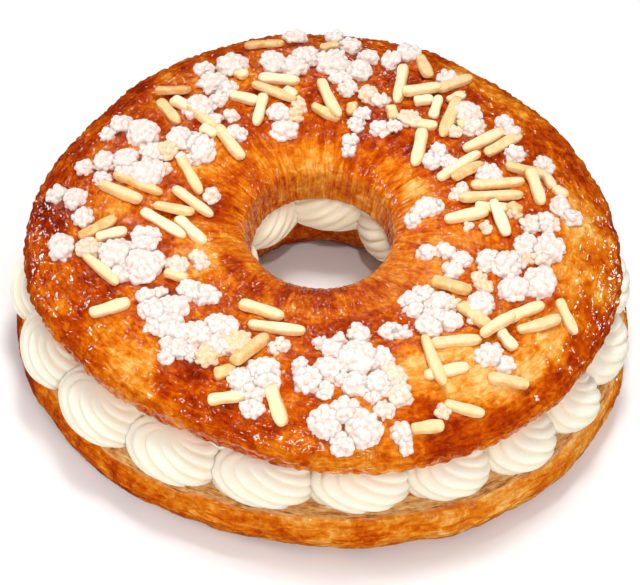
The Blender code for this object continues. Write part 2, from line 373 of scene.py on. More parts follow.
# Almond slivers: angle in degrees and distance in mm of each end, how far that end is lifted by
# what lies under it in mm, and how toasted the sliver is, from 0 to 1
SLIVERS = (
    (138, 110, 3.0, 131, 98, 0.5, 0.90),
    (139, 105, 0.0, 143, 86, 0.0, 0.55),
    (137, 99, 0.0, 136, 88, 0.0, 0.05),
    (136, 90, 1.0, 136, 70, 0.0, 0.35),
    (135, 71, 1.0, 138, 50, 0.0, 0.20),
    (139, 76, 0.0, 138, 68, 0.0, 0.05),
    (155, 84, 0.0, 154, 76, 0.0, 0.15),
    (156, 73, 0.5, 169, 57, 0.0, 0.45),
    (169, 97, 0.5, 174, 73, 0.0, 0.60),
    (173, 101, 0.0, 179, 81, 0.0, 0.35),
    (170, 69, 0.0, 183, 50, 0.0, 0.10),
    (180, 75, 0.0, 185, 58, 3.0, 0.40),
    (183, 80, 0.0, 197, 63, 0.0, 0.05),
    (186, 65, 0.0, 203, 56, 0.0, 0.10),
    (191, 107, 0.0, 186, 91, 0.0, 0.85),
    (192, 100, 0.0, 191, 87, 0.0, 0.10),
    (197, 107, 0.0, 209, 100, 0.0, 0.30),
    (212, 80, 0.0, 218, 74, 0.0, 0.35),
    (213, 117, 0.0, 216, 101, 0.0, 0.20),
    (110, 117, 0.0, 101, 113, 0.0, 0.80),
    (111, 89, 0.0, 99, 83, 0.0, 0.10),
    (114, 85, 2.0, 101, 72, 0.5, 0.50),
    (122, 84, 0.0, 114, 75, 0.0, 0.10),
    (112, 77, 2.5, 120, 63, 0.0, 0.15),
    (92, 84, 0.0, 84, 60, 3.2, 0.20),
    (95, 68, 0.0, 84, 61, 0.0, 0.55),
    (92, 107, 0.0, 88, 111, 0.0, 0.60),
    (116, 98, 0.0, 114, 92, 0.0, 0.30),
    (104, 79, 0.0, 101, 74, 0.0, 0.20),
    (80, 71, 0.0, 79, 65, 0.0, 0.60),
    (70, 104, 0.0, 65, 78, 0.0, 0.15),
    (68, 116, 0.0, 62, 103, 0.0, 0.50),
    (65, 83, 3.2, 57, 99, 1.0, 0.20),
    (57, 96, 0.0, 54, 118, 0.0, 0.50),
    (60, 83, 0.0, 56, 90, 0.0, 0.00),
    (51, 80, 0.0, 55, 93, 1.0, 0.05),
    (52, 94, 0.0, 51, 104, 0.0, 0.10),
    (50, 97, 3.0, 42, 74, 0.5, 0.60),
    (66, 74, 0.0, 62, 68, 0.0, 0.50),
    (55, 72, 0.0, 47, 77, 0.0, 0.30),
    (42, 85, 0.0, 41, 90, 0.0, 0.25),
    (50, 71, 0.0, 38, 54, 0.0, 0.15),
    (32, 77, 0.0, 33, 100, 0.0, 0.25),
    (27, 84, 0.0, 30, 106, 0.0, 0.50),
    (23, 58, 0.0, 28, 82, 0.0, 0.15),
    (20, 64, 0.0, 23, 80, 0.0, 0.70),
    (20, 89, 0.0, 14, 105, 0.0, 0.55),
    (16, 97, 3.2, 3, 97, 0.0, 0.20),
    (14, 104, 0.0, 9, 104, 0.0, 0.10),
    (9, 105, 0.0, 6, 108, 0.0, 0.10),
    (14, 70, 0.0, 12, 93, 0.0, 0.40),
    (8, 63, 0.0, 6, 90, 0.0, 0.40),
    (3, 69, 0.0, 1, 83, 0.0, 0.10),
    (356, 56, 0.0, 0, 74, 0.0, 0.20),
    (3, 76, 3.4, 350, 82, 0.5, 0.00),
    (2, 83, 0.0, 359, 87, 0.0, 0.70),
    (240, 69, 0.0, 257, 68, 0.0, 0.30),
    (247, 79, 0.5, 265, 74, 0.5, 0.20),
    (249, 104, 3.0, 254, 81, 0.0, 0.75),
    (246, 110, 0.0, 250, 104, 0.0, 0.75),
    (247, 121, 0.0, 254, 114, 0.0, 0.15),
    (259, 108, 0.0, 263, 123, 0.0, 0.20),
    (320, 62, 0.0, 324, 78, 0.0, 0.80),
    (317, 79, 0.0, 316, 96, 0.0, 0.50),
    (321, 98, 0.0, 330, 106, 0.0, 0.25),
    (312, 97, 2.8, 322, 100, 3.0, 0.20),
    (320, 104, 0.0, 329, 114, 0.0, 0.40),
    (333, 110, 0.0, 328, 122, 0.0, 0.30),
    (300, 89, 0.0, 312, 97, 0.0, 0.30),
    (299, 84, 2.8, 296, 109, 2.6, 0.40),
    (294, 102, 0.0, 304, 105, 0.0, 0.20),
    (317, 100, 0.0, 316, 109, 0.0, 0.10),
    (306, 113, 0.0, 312, 123, 0.0, 0.50),
    (295, 115, 0.0, 301, 124, 0.0, 0.30),
    (287, 122, 0.0, 293, 123, 0.0, 0.40),
)

# Patches of the top crust that baked paler or darker than the rest: angle in degrees, distance,
# length along the ring and width across it in mm, and the change in browning
CRUST_PATCHES = (
    (226, 114, 46, 20, -0.20),
    (236, 124, 50, 10, -0.10),
    (349, 114, 54, 24, -0.42),
    (333, 117, 40, 18, -0.18),
    (6, 113, 40, 16, -0.28),
    (298, 104, 80, 30, -0.46),
    (313, 117, 62, 24, -0.32),
    (304, 120, 70, 14, -0.26),
    (280, 112, 30, 12, -0.18),
    (200, 62, 44, 20, -0.28),
    (182, 92, 26, 12, -0.22),
    (152, 68, 36, 18, -0.28),
    (115, 96, 24, 12, -0.20),
    (46, 115, 50, 12, -0.25),
    (62, 118, 26, 10, -0.20),
    (14, 46, 26, 18, -0.35),
    (340, 52, 34, 16, -0.22),
    (250, 62, 24, 16, -0.15),
    (283, 43, 50, 12, 0.25),
    (228, 52, 40, 10, 0.20),
    (258, 119, 60, 14, 0.22),
    (241, 106, 26, 14, 0.28),
    (205, 112, 60, 16, 0.16),
    (170, 121, 80, 16, 0.22),
    (140, 121, 60, 12, 0.22),
    (130, 100, 60, 30, 0.10),
    (185, 108, 60, 24, 0.10),
    (73, 60, 30, 24, 0.28),
    (95, 58, 20, 18, 0.14),
    (120, 62, 24, 22, 0.10),
    (40, 58, 30, 18, 0.20),
    (20, 118, 60, 12, 0.24),
    (310, 92, 34, 14, 0.20),
    (270, 72, 40, 14, 0.16),
)

# Domes of sugar: the turn from a dome's top to its first row and to its buried edge, the size of
# the balls that it swells into, its height as a share of its smaller width, the height added to
# that, half its width as a share of its patch, how uneven its edge is, the level of the balls that
# stays in place, and how far the dome stands off the crust
SUGAR_FIRST_LEAN = 0.12
SUGAR_LEAN = 1.85
SUGAR_BALL = 0.0030
SUGAR_HEIGHT_SHARE = 0.27
SUGAR_HEIGHT = 0.0013
SUGAR_WIDTH_SHARE = 0.53
SUGAR_EDGE = 0.14
SUGAR_LEVEL = 0.62
SUGAR_LIFT = 0.0006
# Ball noise: the reach of a ball and how far its middle strays, in cells
BALL_REACH = 0.66
BALL_STRAY = 0.7

# Slivers: how far the middle stands off the crust as a share of the thickness, the share of a bump
# that it clears, the length past its two ends, the range of the power that blunts its ends, the
# powers that round its section across and upwards, the most that it tapers, bows and leans (as a
# share, in metres and in radians), how far its sides waver, and the ranges of its width and
# thickness as shares of their settings
SLIVER_STAND = 0.38
SLIVER_CLEAR = 0.85
SLIVER_EXTRA = 0.001
SLIVER_BLUNT = (5.0, 9.0)
SLIVER_SECTION = (0.42, 0.52)
SLIVER_TAPER = 0.14
SLIVER_BOW = 0.0006
SLIVER_LEAN = 0.25
SLIVER_WOBBLE = 0.00018
SLIVER_WIDTHS = (0.86, 1.12)
SLIVER_THICKNESSES = (0.85, 1.1)

# Radius of the circle on which patterns that follow the ring are laid out
SWEEP_RADIUS = 0.110


# ---- random numbers and noise ----------------------------------------------------------------


def cell_numbers(cell, seed):
    """Numbers from 0 to 1, one for each whole-number cell: its three indices times large odd
    numbers, added up, folded onto themselves and mixed once more."""
    index = (cell & 0xFFFFFFFF).astype(np.uint32)
    mixed = index[..., 0] * np.uint32(374761393) + index[..., 1] * np.uint32(668265263)
    mixed = mixed + index[..., 2] * np.uint32(2246822519) + np.uint32((seed * 3266489917) % 2**32)
    mixed = (mixed ^ (mixed >> np.uint32(13))) * np.uint32(1274126177)
    mixed = (mixed ^ (mixed >> np.uint32(15))) * np.uint32(2654435761)
    return (mixed ^ (mixed >> np.uint32(16))) / 2.0**32


def smooth_noise(points, seed):
    """Noise from -1 to 1: the cell numbers of the eight cells round a point, blended with a curve
    that is flat at both ends."""
    low = np.floor(points)
    part = points - low
    fade = part**3 * (part * (part * 6.0 - 15.0) + 10.0)
    cell = low.astype(np.int64)
    total = np.zeros(points.shape[:-1])
    for corner in product((0, 1), repeat=3):
        weight = np.prod(np.where(np.array(corner) == 1, fade, 1.0 - fade), axis=-1)
        total += weight * cell_numbers(cell + np.array(corner), seed)
    return 2.0 * total - 1.0


def layered_noise(points, seed, layers):
    """Smooth noise of several sizes: each layer is half as large and half as strong as the last."""
    total = np.zeros(points.shape[:-1])
    for layer in range(layers):
        total += smooth_noise(points * 2.0**layer + 17.3 * layer, seed + layer) / 2.0**layer
    return total


def ridge_noise(points, seed, layers):
    """Ridged noise, 0 to 1: one less the size of smooth noise, so that its zeros are crests."""
    total = np.zeros(points.shape[:-1])
    strength = 0.0
    for layer in range(layers):
        waves = smooth_noise(points * 2.0**layer + 9.7 * layer, seed + layer)
        total += (1.0 - np.abs(waves)) / 2.0**layer
        strength += 1.0 / 2.0**layer
    return total / strength


def cell_distances(points, seed, stray=1.0):
    """Distances to the nearest and to the second nearest of a set of points, one in each unit
    cell. A point strays from its cell's middle at random, to the cell's walls when stray is 1."""
    base = np.floor(points).astype(np.int64)
    nearest = np.full(points.shape[:-1], 9.0)
    second = np.full(points.shape[:-1], 9.0)
    for offset in product((-1, 0, 1), repeat=3):
        cell = base + np.array(offset)
        random = np.stack([cell_numbers(cell, seed + n) for n in range(3)], axis=-1)
        site = cell + 0.5 + stray * (random - 0.5)
        distance = np.linalg.norm(points - site, axis=-1)
        second = np.minimum(second, np.maximum(nearest, distance))
        nearest = np.minimum(nearest, distance)
    return nearest, second


def smooth_step(low, high, value):
    """0 at low and beyond, 1 at high and beyond, and smooth between. With low above high it falls
    as the value grows."""
    share = np.clip((value - low) / (high - low), 0.0, 1.0)
    return share * share * (3.0 - 2.0 * share)


# ---- the ring's form -------------------------------------------------------------------------


def wave_sum(waves, angle):
    """Sum of cosines round the ring, one for each (waves, height, crest) entry."""
    total = 0.0 * angle
    for count, height, crest in waves:
        total = total + height * np.cos(count * (angle - math.radians(crest)))
    return total


def uneven(radius, angle, waves):
    """x and y of a ring point. The outline's waves grow from the hole outwards, and the hole's own
    oval and its centre fade in towards it."""
    outward = np.clip((radius - HOLE_REACH) / (RING_REACH - HOLE_REACH), 0.0, 1.2)
    inward = 1.0 - np.minimum(outward, 1.0)
    oval = HOLE_OVAL * np.cos(2.0 * (angle - math.pi / 2))
    reach = radius + outward * wave_sum(waves, angle) + inward * oval
    x = reach * np.cos(angle) + inward * HOLE_CENTRE[0] + CENTRE_SHIFT[0]
    y = reach * np.sin(angle) + inward * HOLE_CENTRE[1] + CENTRE_SHIFT[1]
    return x, y


def dome_curve():
    """The crust's section as arrays of radius and height, from the rim of the funnel over the crown
    to the girth: a superellipse whose two sides have their own widths."""
    turn = np.linspace(math.pi, 0.0, CURVE_POINTS)
    side = np.cos(turn)
    outer = DOME_GIRTH_RADIUS - DOME_CROWN_RADIUS
    inner = DOME_CROWN_RADIUS - FUNNEL_RADIUS
    width = np.where(side > 0.0, outer, inner)
    radius = DOME_CROWN_RADIUS + width * np.sign(side) * np.abs(side) ** (2.0 / DOME_POWER)
    rise = np.clip(np.sin(turn), 0.0, 1.0) ** (2.0 / DOME_POWER)
    return radius, DOME_GIRTH_HEIGHT + (CRUST_TOP - DOME_GIRTH_HEIGHT) * rise


def closed_section(corners, rounding):
    """A closed outline walked in equal steps, with its corners rounded by averaging each point with
    its neighbours over the given length. Returns radius, height and the length walked."""
    ends = np.vstack([corners, corners[:1]])
    length = np.concatenate([[0.0], np.cumsum(np.hypot(*np.diff(ends, axis=0).T))])
    count = int(length[-1] / SECTION_STEP)
    walked = np.linspace(0.0, length[-1], count, endpoint=False)
    radius = np.interp(walked, length, ends[:, 0])
    height = np.interp(walked, length, ends[:, 1])
    reach = int(rounding / SECTION_STEP / 2)
    window = range(-reach, reach + 1)
    radius = sum(np.roll(radius, n) for n in window) / len(window)
    height = sum(np.roll(height, n) for n in window) / len(window)
    return radius, height, walked


def section_rows(corners, rounding, start, quiet, rows):
    """Rows of a closed section, from the place nearest to the start and round to it again. Rows
    lie closely, except where the quiet test holds, which is out of sight. Returns radius, height
    and the length walked."""
    radius, height, walked = closed_section(corners, rounding)
    first = np.argmin(np.hypot(radius - start[0], height - start[1]))
    radius = np.roll(radius, -first)
    height = np.roll(height, -first)
    density = np.where(quiet(radius, height), QUIET_DENSITY, 1.0)
    total = np.concatenate([[0.0], np.cumsum(density)[:-1]])
    row_walked = np.interp(np.linspace(0.0, density.sum(), rows, endpoint=False), total, walked)
    return np.interp(row_walked, walked, radius), np.interp(row_walked, walked, height), row_walked


def sweep_place(walked, angle):
    """Place in a pattern that follows the ring: the length walked down the section, and a circle of
    one size for every angle, so that it closes on itself."""
    down = np.broadcast_to(walked, angle.shape)
    return np.stack([down, SWEEP_RADIUS * np.cos(angle), SWEEP_RADIUS * np.sin(angle)], axis=-1)


def ring_grid(radius, height, columns, waves, crown):
    """Points of a ring: the section's rows at every angle, made uneven. crown is the share of the
    crown's waves that each row gains in height."""
    angle = np.linspace(0.0, 2.0 * math.pi, columns, endpoint=False)
    angle, radius_grid = np.meshgrid(angle, radius, indexing="ij")
    x, y = uneven(radius_grid, angle, waves)
    z = height[None, :] + crown[None, :] * wave_sum(CROWN_WAVES, angle)
    return np.stack([x, y, z], axis=-1), angle


def outward_normals(points):
    """Unit normals of a grid that is closed both ways: the cross product of the two directions in
    which the grid runs, turned away from the inside of the section."""
    along = np.roll(points, -1, axis=0) - np.roll(points, 1, axis=0)
    across = np.roll(points, -1, axis=1) - np.roll(points, 1, axis=1)
    normal = np.cross(along, across)
    normal /= np.linalg.norm(normal, axis=-1, keepdims=True)
    middle = points.mean(axis=1, keepdims=True)
    if ((points - middle) * normal).sum() < 0.0:
        normal = -normal
    return normal


# ---- meshes ----------------------------------------------------------------------------------

NO_TRIANGLES = np.zeros((0, 3), int)


def closed_grid_faces(columns, rows, wrap_rows):
    """Four-cornered faces of a grid that closes round its columns, and round its rows if asked."""
    i = np.arange(columns)
    j = np.arange(rows if wrap_rows else rows - 1)
    i, j = np.meshgrid(i, j, indexing="ij")
    next_i = (i + 1) % columns
    next_j = (j + 1) % rows
    faces = np.stack(
        [i * rows + j, next_i * rows + j, next_i * rows + next_j, i * rows + next_j], axis=-1
    )
    return faces.reshape(-1, 4)


def capped_faces(columns, rows):
    """Faces of a form with two poles: a grid round its columns, and a fan of triangles at each end.
    The poles are the two vertices after the grid's."""
    quads = closed_grid_faces(columns, rows, wrap_rows=False)
    i = np.arange(columns)
    next_i = (i + 1) % columns
    first = np.stack([next_i * rows, i * rows, np.full(columns, columns * rows)], axis=-1)
    end = rows - 1
    last = np.stack(
        [i * rows + end, next_i * rows + end, np.full(columns, columns * rows + 1)], axis=-1
    )
    return quads, np.vstack([first, last])


def turned_outward(points, quads, triangles):
    """The faces, turned round if the form they close has a negative volume."""
    corners = np.vstack([quads[:, [0, 1, 2]], quads[:, [0, 2, 3]], triangles])
    a, b, c = (points[corners[:, n]] for n in range(3))
    if np.einsum("ij,ij->i", a, np.cross(b, c)).sum() < 0.0:
        return quads[:, ::-1], triangles[:, ::-1]
    return quads, triangles


def make_piece(name, points, quads, triangles, material, attributes):
    """A smooth mesh object at the origin, built from arrays, with one number or one place per
    vertex for each attribute. It rides on the cake."""
    mesh = bpy.data.meshes.new(name)
    mesh.vertices.add(len(points))
    mesh.vertices.foreach_set("co", points.astype(np.float32).ravel())
    corners = np.concatenate([quads.ravel(), triangles.ravel()]).astype(np.int32)
    sizes = np.concatenate([np.full(len(quads), 4), np.full(len(triangles), 3)])
    starts = np.concatenate([[0], np.cumsum(sizes)[:-1]]).astype(np.int32)
    mesh.loops.add(len(corners))
    mesh.loops.foreach_set("vertex_index", corners)
    mesh.polygons.add(len(sizes))
    mesh.polygons.foreach_set("loop_start", starts)
    mesh.update(calc_edges=True)
    mesh.validate()
    mesh.polygons.foreach_set("use_smooth", np.ones(len(mesh.polygons), bool))
    for label, values in attributes.items():
        is_place = values.size == 3 * len(points)
        layer = mesh.attributes.new(label, "FLOAT_VECTOR" if is_place else "FLOAT", "POINT")
        layer.data.foreach_set("vector" if is_place else "value", values.astype(np.float32).ravel())
    mesh.materials.append(material)
    piece = bpy.data.objects.new(name, mesh)
    bpy.context.scene.collection.objects.link(piece)
    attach(piece, "root")
    return piece


def ring_piece(name, points, material, attributes):
    """A piece from the points of a ring's grid, which closes round its columns and its rows."""
    flat = points.reshape(-1, 3)
    quads = closed_grid_faces(points.shape[0], points.shape[1], wrap_rows=True)
    quads, triangles = turned_outward(flat, quads, NO_TRIANGLES)
    return make_piece(name, flat, quads, triangles, material, attributes)


def many_forms(points, poles, columns, rows):
    """Vertices and faces of many forms of one kind. points is forms x columns x rows x 3, and poles
    is forms x 2 x 3."""
    forms = len(points)
    vertices = np.concatenate([points.reshape(forms, -1, 3), poles], axis=1)
    quads, triangles = capped_faces(columns, rows)
    quads, triangles = turned_outward(vertices[0], quads, triangles)
    shift = (np.arange(forms) * vertices.shape[1])[:, None, None]
    return (
        vertices.reshape(-1, 3),
        (quads[None] + shift).reshape(-1, 4),
        (triangles[None] + shift).reshape(-1, 3),
    )


# ---- materials -------------------------------------------------------------------------------

# Roughness of cut crumb, strength of the skin's mottling, height of the skin's ripples in metres,
# and strength of the painted light that the sugar's creases give off, as if light came through them
CRUMB_ROUGHNESS = 0.85
CRUST_MOTTLE = 0.95
CRUST_BUMP = 0.0011
SUGAR_PAINTED_LIGHT = 0.10


def paint(red, green, blue):
    """A colour mixed on a screen, 0 to 255, as the linear colour that a shader takes."""
    linear = [
        part / 12.92 if part <= 0.04045 else ((part + 0.055) / 1.055) ** 2.4
        for part in (red / 255, green / 255, blue / 255)
    ]
    return (*linear, 1.0)


def add_node(tree, kind, inputs=None, **settings):
    """Adds a node with its settings. An input given a socket is linked, and any other is set."""
    made = tree.nodes.new(kind)
    for name, value in settings.items():
        setattr(made, name, value)
    for name, value in (inputs or {}).items():
        if isinstance(value, bpy.types.NodeSocket):
            tree.links.new(value, made.inputs[name])
        else:
            made.inputs[name].default_value = value
    return made


def maths(tree, operation, first, second, clamp=False):
    """Result of a Math node."""
    made = add_node(
        tree, "ShaderNodeMath", {0: first, 1: second}, operation=operation, use_clamp=clamp
    )
    return made.outputs[0]


def blend_colour(tree, factor, first, second):
    """Colour of a Mix node."""
    made = add_node(tree, "ShaderNodeMix", {0: factor, 6: first, 7: second}, data_type="RGBA")
    return made.outputs[2]


def spread(tree, value, low, high, new_low, new_high):
    """A value moved from one range to another and held inside it."""
    made = add_node(
        tree,
        "ShaderNodeMapRange",
        {"Value": value, "From Min": low, "From Max": high, "To Min": new_low, "To Max": new_high},
    )
    return made.outputs["Result"]


def colour_ramp(tree, factor, stops):
    """Colour at a factor along a row of (place, colour) stops."""
    made = add_node(tree, "ShaderNodeValToRGB", {"Fac": factor})
    ramp = made.color_ramp
    while len(ramp.elements) < len(stops):
        ramp.elements.new(0.5)
    for element, (place, colour) in zip(ramp.elements, stops):
        element.position = place
        element.color = colour
    return made.outputs["Color"]


def noise(tree, vector, scale, detail, roughness, distortion):
    """Factor of a Noise node. scale is in waves to the metre."""
    made = add_node(
        tree,
        "ShaderNodeTexNoise",
        {
            "Vector": vector,
            "Scale": scale,
            "Detail": detail,
            "Roughness": roughness,
            "Distortion": distortion,
        },
    )
    return made.outputs["Fac"]


def cells(tree, vector, scale):
    """Distance of a Voronoi node. scale is in cells to the metre."""
    made = add_node(tree, "ShaderNodeTexVoronoi", {"Vector": vector, "Scale": scale})
    return made.outputs["Distance"]


def attribute(tree, name, output="Fac"):
    """A number, or with the Vector output a place, carried by the piece's vertices."""
    return add_node(tree, "ShaderNodeAttribute", attribute_name=name).outputs[output]


def stretched(tree, place, scales):
    """A place with each of its coordinates multiplied by its own scale."""
    made = add_node(tree, "ShaderNodeVectorMath", {0: place, 1: scales}, operation="MULTIPLY")
    return made.outputs[0]


def blend_value(tree, factor, first, second):
    """Value of a Mix node."""
    return add_node(tree, "ShaderNodeMix", {0: factor, 2: first, 3: second}).outputs[0]


def weighted(tree, parts):
    """Sum of values about their middle, 0.5, each times its weight."""
    total = None
    for value, weight in parts:
        part = maths(tree, "MULTIPLY", maths(tree, "SUBTRACT", value, 0.5), weight)
        total = part if total is None else maths(tree, "ADD", total, part)
    return total


def object_place(tree):
    """Object coordinates."""
    return add_node(tree, "ShaderNodeTexCoord").outputs["Object"]


def new_group(name, inputs, outputs):
    """A shader node group with float, colour or vector sockets, and its two end nodes."""
    kinds = {"F": "NodeSocketFloat", "C": "NodeSocketColor", "V": "NodeSocketVector"}
    tree = bpy.data.node_groups.new(name, "ShaderNodeTree")
    for label, kind, default in inputs:
        socket = tree.interface.new_socket(label, in_out="INPUT", socket_type=kinds[kind])
        if default is not None:
            socket.default_value = default
    for label, kind in outputs:
        tree.interface.new_socket(label, in_out="OUTPUT", socket_type=kinds[kind])
    start = tree.nodes.new("NodeGroupInput")
    end = tree.nodes.new("NodeGroupOutput")
    return tree, start.outputs, end.inputs


def get_group(name, build):
    """The node group of this name, built on first use."""
    return bpy.data.node_groups.get(name) or build(name)


def build_browned_skin(name):
    """Baked crust under an egg glaze: a colour that runs from pale gold to mahogany with the
    browning, mottled by flakes and by fibres. The fibres run along the ring on its flanks and down
    into the hole inside it. The darker the skin, the more it shines. Torn skin has pale flecks. The
    height is soft ripples and the folds of the glaze, which run as the fibres do."""
    tree, given, wanted = new_group(
        name,
        (
            ("Vector", "V", None),
            ("Sweep", "V", None),
            ("Inside", "F", 0.0),
            ("Browning", "F", 0.6),
            ("Mottle", "F", 1.0),
            ("Torn", "F", 0.0),
        ),
        (("Color", "C"), ("Roughness", "F"), ("Height", "F")),
    )
    place = given["Vector"]
    large = noise(tree, place, 60.0, 3.0, 0.55, 0.8)
    flakes = noise(tree, place, 210.0, 3.0, 0.5, 1.6)
    grain = noise(tree, place, 900.0, 2.0, 0.5, 0.5)
    sweep = given["Sweep"]
    along = noise(tree, stretched(tree, sweep, (380.0, 130.0, 130.0)), 1.0, 3.0, 0.55, 1.0)
    inward = noise(tree, stretched(tree, sweep, (70.0, 170.0, 170.0)), 1.0, 3.0, 0.5, 1.0)
    fibres = blend_value(tree, given["Inside"], along, inward)
    ripples = noise(tree, place, 230.0, 0.5, 0.4, 1.2)
    outer_folds = noise(tree, stretched(tree, sweep, (330.0, 110.0, 110.0)), 1.0, 0.5, 0.4, 0.8)
    inner_folds = noise(tree, stretched(tree, sweep, (110.0, 240.0, 240.0)), 1.0, 0.5, 0.4, 0.6)
    wrinkles = blend_value(tree, given["Inside"], outer_folds, inner_folds)
    mottle = weighted(tree, ((large, 0.8), (flakes, 0.6), (fibres, 0.75), (grain, 0.14)))
    level = maths(tree, "MULTIPLY", mottle, given["Mottle"])
    level = maths(tree, "ADD", given["Browning"], level, clamp=True)
    colour = colour_ramp(
        tree,
        level,
        (
            (0.00, paint(246, 200, 128)),
            (0.15, paint(238, 170, 76)),
            (0.30, paint(226, 134, 26)),
            (0.45, paint(209, 101, 2)),
            (0.60, paint(184, 67, 0)),
            (0.77, paint(152, 42, 0)),
            (1.00, paint(104, 20, 0)),
        ),
    )
    fleck = spread(tree, weighted(tree, ((flakes, 1.0), (grain, 0.5))), 0.08, 0.26, 0.0, 0.4)
    pale = blend_colour(tree, fleck, colour, paint(255, 214, 150))
    colour = blend_colour(tree, given["Torn"], colour, pale)
    tree.links.new(colour, wanted["Color"])
    polished = spread(tree, level, 0.05, 0.40, 0.22, 0.08)
    rough = maths(tree, "ADD", polished, weighted(tree, ((grain, 0.05),)))
    tree.links.new(rough, wanted["Roughness"])
    height = weighted(tree, ((ripples, 0.8), (wrinkles, 1.15), (flakes, 0.06)))
    tree.links.new(height, wanted["Height"])
    return tree


def build_crumb(name):
    """Cut brioche: pale tan crumb torn into long soft layers along the ring, with small pores and
    darker gaps between the layers."""
    tree, given, wanted = new_group(
        name,
        (("Vector", "V", None), ("Sweep", "V", None), ("Toast", "F", 0.0)),
        (("Color", "C"), ("Height", "F")),
    )
    place = stretched(tree, given["Sweep"], (640.0, 110.0, 110.0))
    layers = noise(tree, place, 1.0, 5.0, 0.62, 0.8)
    pores = cells(tree, given["Vector"], 420.0)
    level = maths(tree, "ADD", 0.5, weighted(tree, ((layers, 1.9), (pores, 0.3))))
    level = maths(tree, "ADD", level, maths(tree, "MULTIPLY", given["Toast"], -0.35), clamp=True)
    colour = colour_ramp(
        tree,
        level,
        (
            (0.05, paint(160, 82, 24)),
            (0.25, paint(214, 136, 60)),
            (0.45, paint(238, 180, 104)),
            (0.62, paint(243, 194, 126)),
            (0.85, paint(252, 222, 170)),
        ),
    )
    tree.links.new(colour, wanted["Color"])
    tree.links.new(weighted(tree, ((layers, 2.0), (pores, 0.5))), wanted["Height"])
    return tree


def build_soft_grain(name):
    """Fine soft unevenness: a mask from 0 to 1 and a height, both from noise of one size."""
    tree, given, wanted = new_group(
        name,
        (("Vector", "V", None), ("Scale", "F", 300.0), ("Contrast", "F", 1.0)),
        (("Mask", "F"), ("Height", "F")),
    )
    grain = noise(tree, given["Vector"], given["Scale"], 4.0, 0.6, 0.4)
    centred = maths(tree, "MULTIPLY", maths(tree, "SUBTRACT", grain, 0.5), given["Contrast"])
    tree.links.new(maths(tree, "ADD", centred, 0.5, clamp=True), wanted["Mask"])
    tree.links.new(grain, wanted["Height"])
    return tree


def place_group(tree, name, build, inputs):
    """A group node with its inputs filled."""
    made = tree.nodes.new("ShaderNodeGroup")
    made.node_tree = get_group(name, build)
    for label, value in inputs.items():
        if isinstance(value, bpy.types.NodeSocket):
            tree.links.new(value, made.inputs[label])
        else:
            made.inputs[label].default_value = value
    return made.outputs


def new_material(name, **constants):
    """A material whose Principled shader holds the constants, returned with its tree and shader."""
    material = bpy.data.materials.new(name)
    material.use_nodes = True
    tree = material.node_tree
    shader = tree.nodes["Principled BSDF"]
    for label, value in constants.items():
        shader.inputs[label.replace("_", " ")].default_value = value
    return material, tree, shader


def bump(tree, shader, height, strength, distance):
    """Feeds a Bump node of this height to the shader's normal."""
    made = add_node(
        tree, "ShaderNodeBump", {"Height": height, "Strength": strength, "Distance": distance}
    )
    tree.links.new(made.outputs["Normal"], shader.inputs["Normal"])


def crust_material(name, polish, gloss):
    """Brioche skin with crumb where the piece's cut attribute says so. polish scales the skin's
    roughness, and gloss is the strength of its reflection."""
    material, tree, shader = new_material(name, Specular_IOR_Level=gloss)
    place = object_place(tree)
    sweep = attribute(tree, "sweep", "Vector")
    skin = place_group(
        tree,
        "Browned Skin",
        build_browned_skin,
        {
            "Vector": place,
            "Sweep": sweep,
            "Inside": attribute(tree, "inside"),
            "Browning": attribute(tree, "browning"),
            "Mottle": CRUST_MOTTLE,
            "Torn": attribute(tree, "torn"),
        },
    )
    crumb = place_group(
        tree,
        "Crumb",
        build_crumb,
        {"Vector": place, "Sweep": sweep, "Toast": attribute(tree, "browning")},
    )
    cut = attribute(tree, "cut")
    colour = blend_colour(tree, cut, skin["Color"], crumb["Color"])
    tree.links.new(colour, shader.inputs["Base Color"])
    glazed = maths(tree, "MULTIPLY", skin["Roughness"], polish)
    tree.links.new(blend_value(tree, cut, glazed, CRUMB_ROUGHNESS), shader.inputs["Roughness"])
    height = blend_value(tree, cut, skin["Height"], crumb["Height"])
    bump(tree, shader, height, 1.0, CRUST_BUMP)
    return material


def cream_material(settings):
    """Whipped cream: soft light under its surface, and painted shade: darker, warmer cream in the
    grooves between its ridges and wherever the piece's shade attribute is high.
    """
    material, tree, shader = new_material(
        "Whipped Cream",
        Subsurface_Weight=0.5,
        Subsurface_Radius=(0.0060, 0.0045, 0.0030),
        Subsurface_Scale=0.6,
        Roughness=0.38,
        Specular_IOR_Level=0.35,
    )
    grain = place_group(
        tree,
        "Soft Grain",
        build_soft_grain,
        {"Vector": object_place(tree), "Scale": 160.0, "Contrast": 0.8},
    )
    # Painted shade: darker, warmer cream where the shade attribute is high
    groove = attribute(tree, "groove")
    shade = maths(tree, "ADD", groove, maths(tree, "MULTIPLY", grain["Mask"], 0.25), clamp=True)
    colour = blend_colour(tree, shade, tuple(settings.ridge_colour), tuple(settings.groove_shade_colour))
    tree.links.new(colour, shader.inputs["Base Color"])
    bump(tree, shader, grain["Height"], 0.25, 0.0004)
    return material


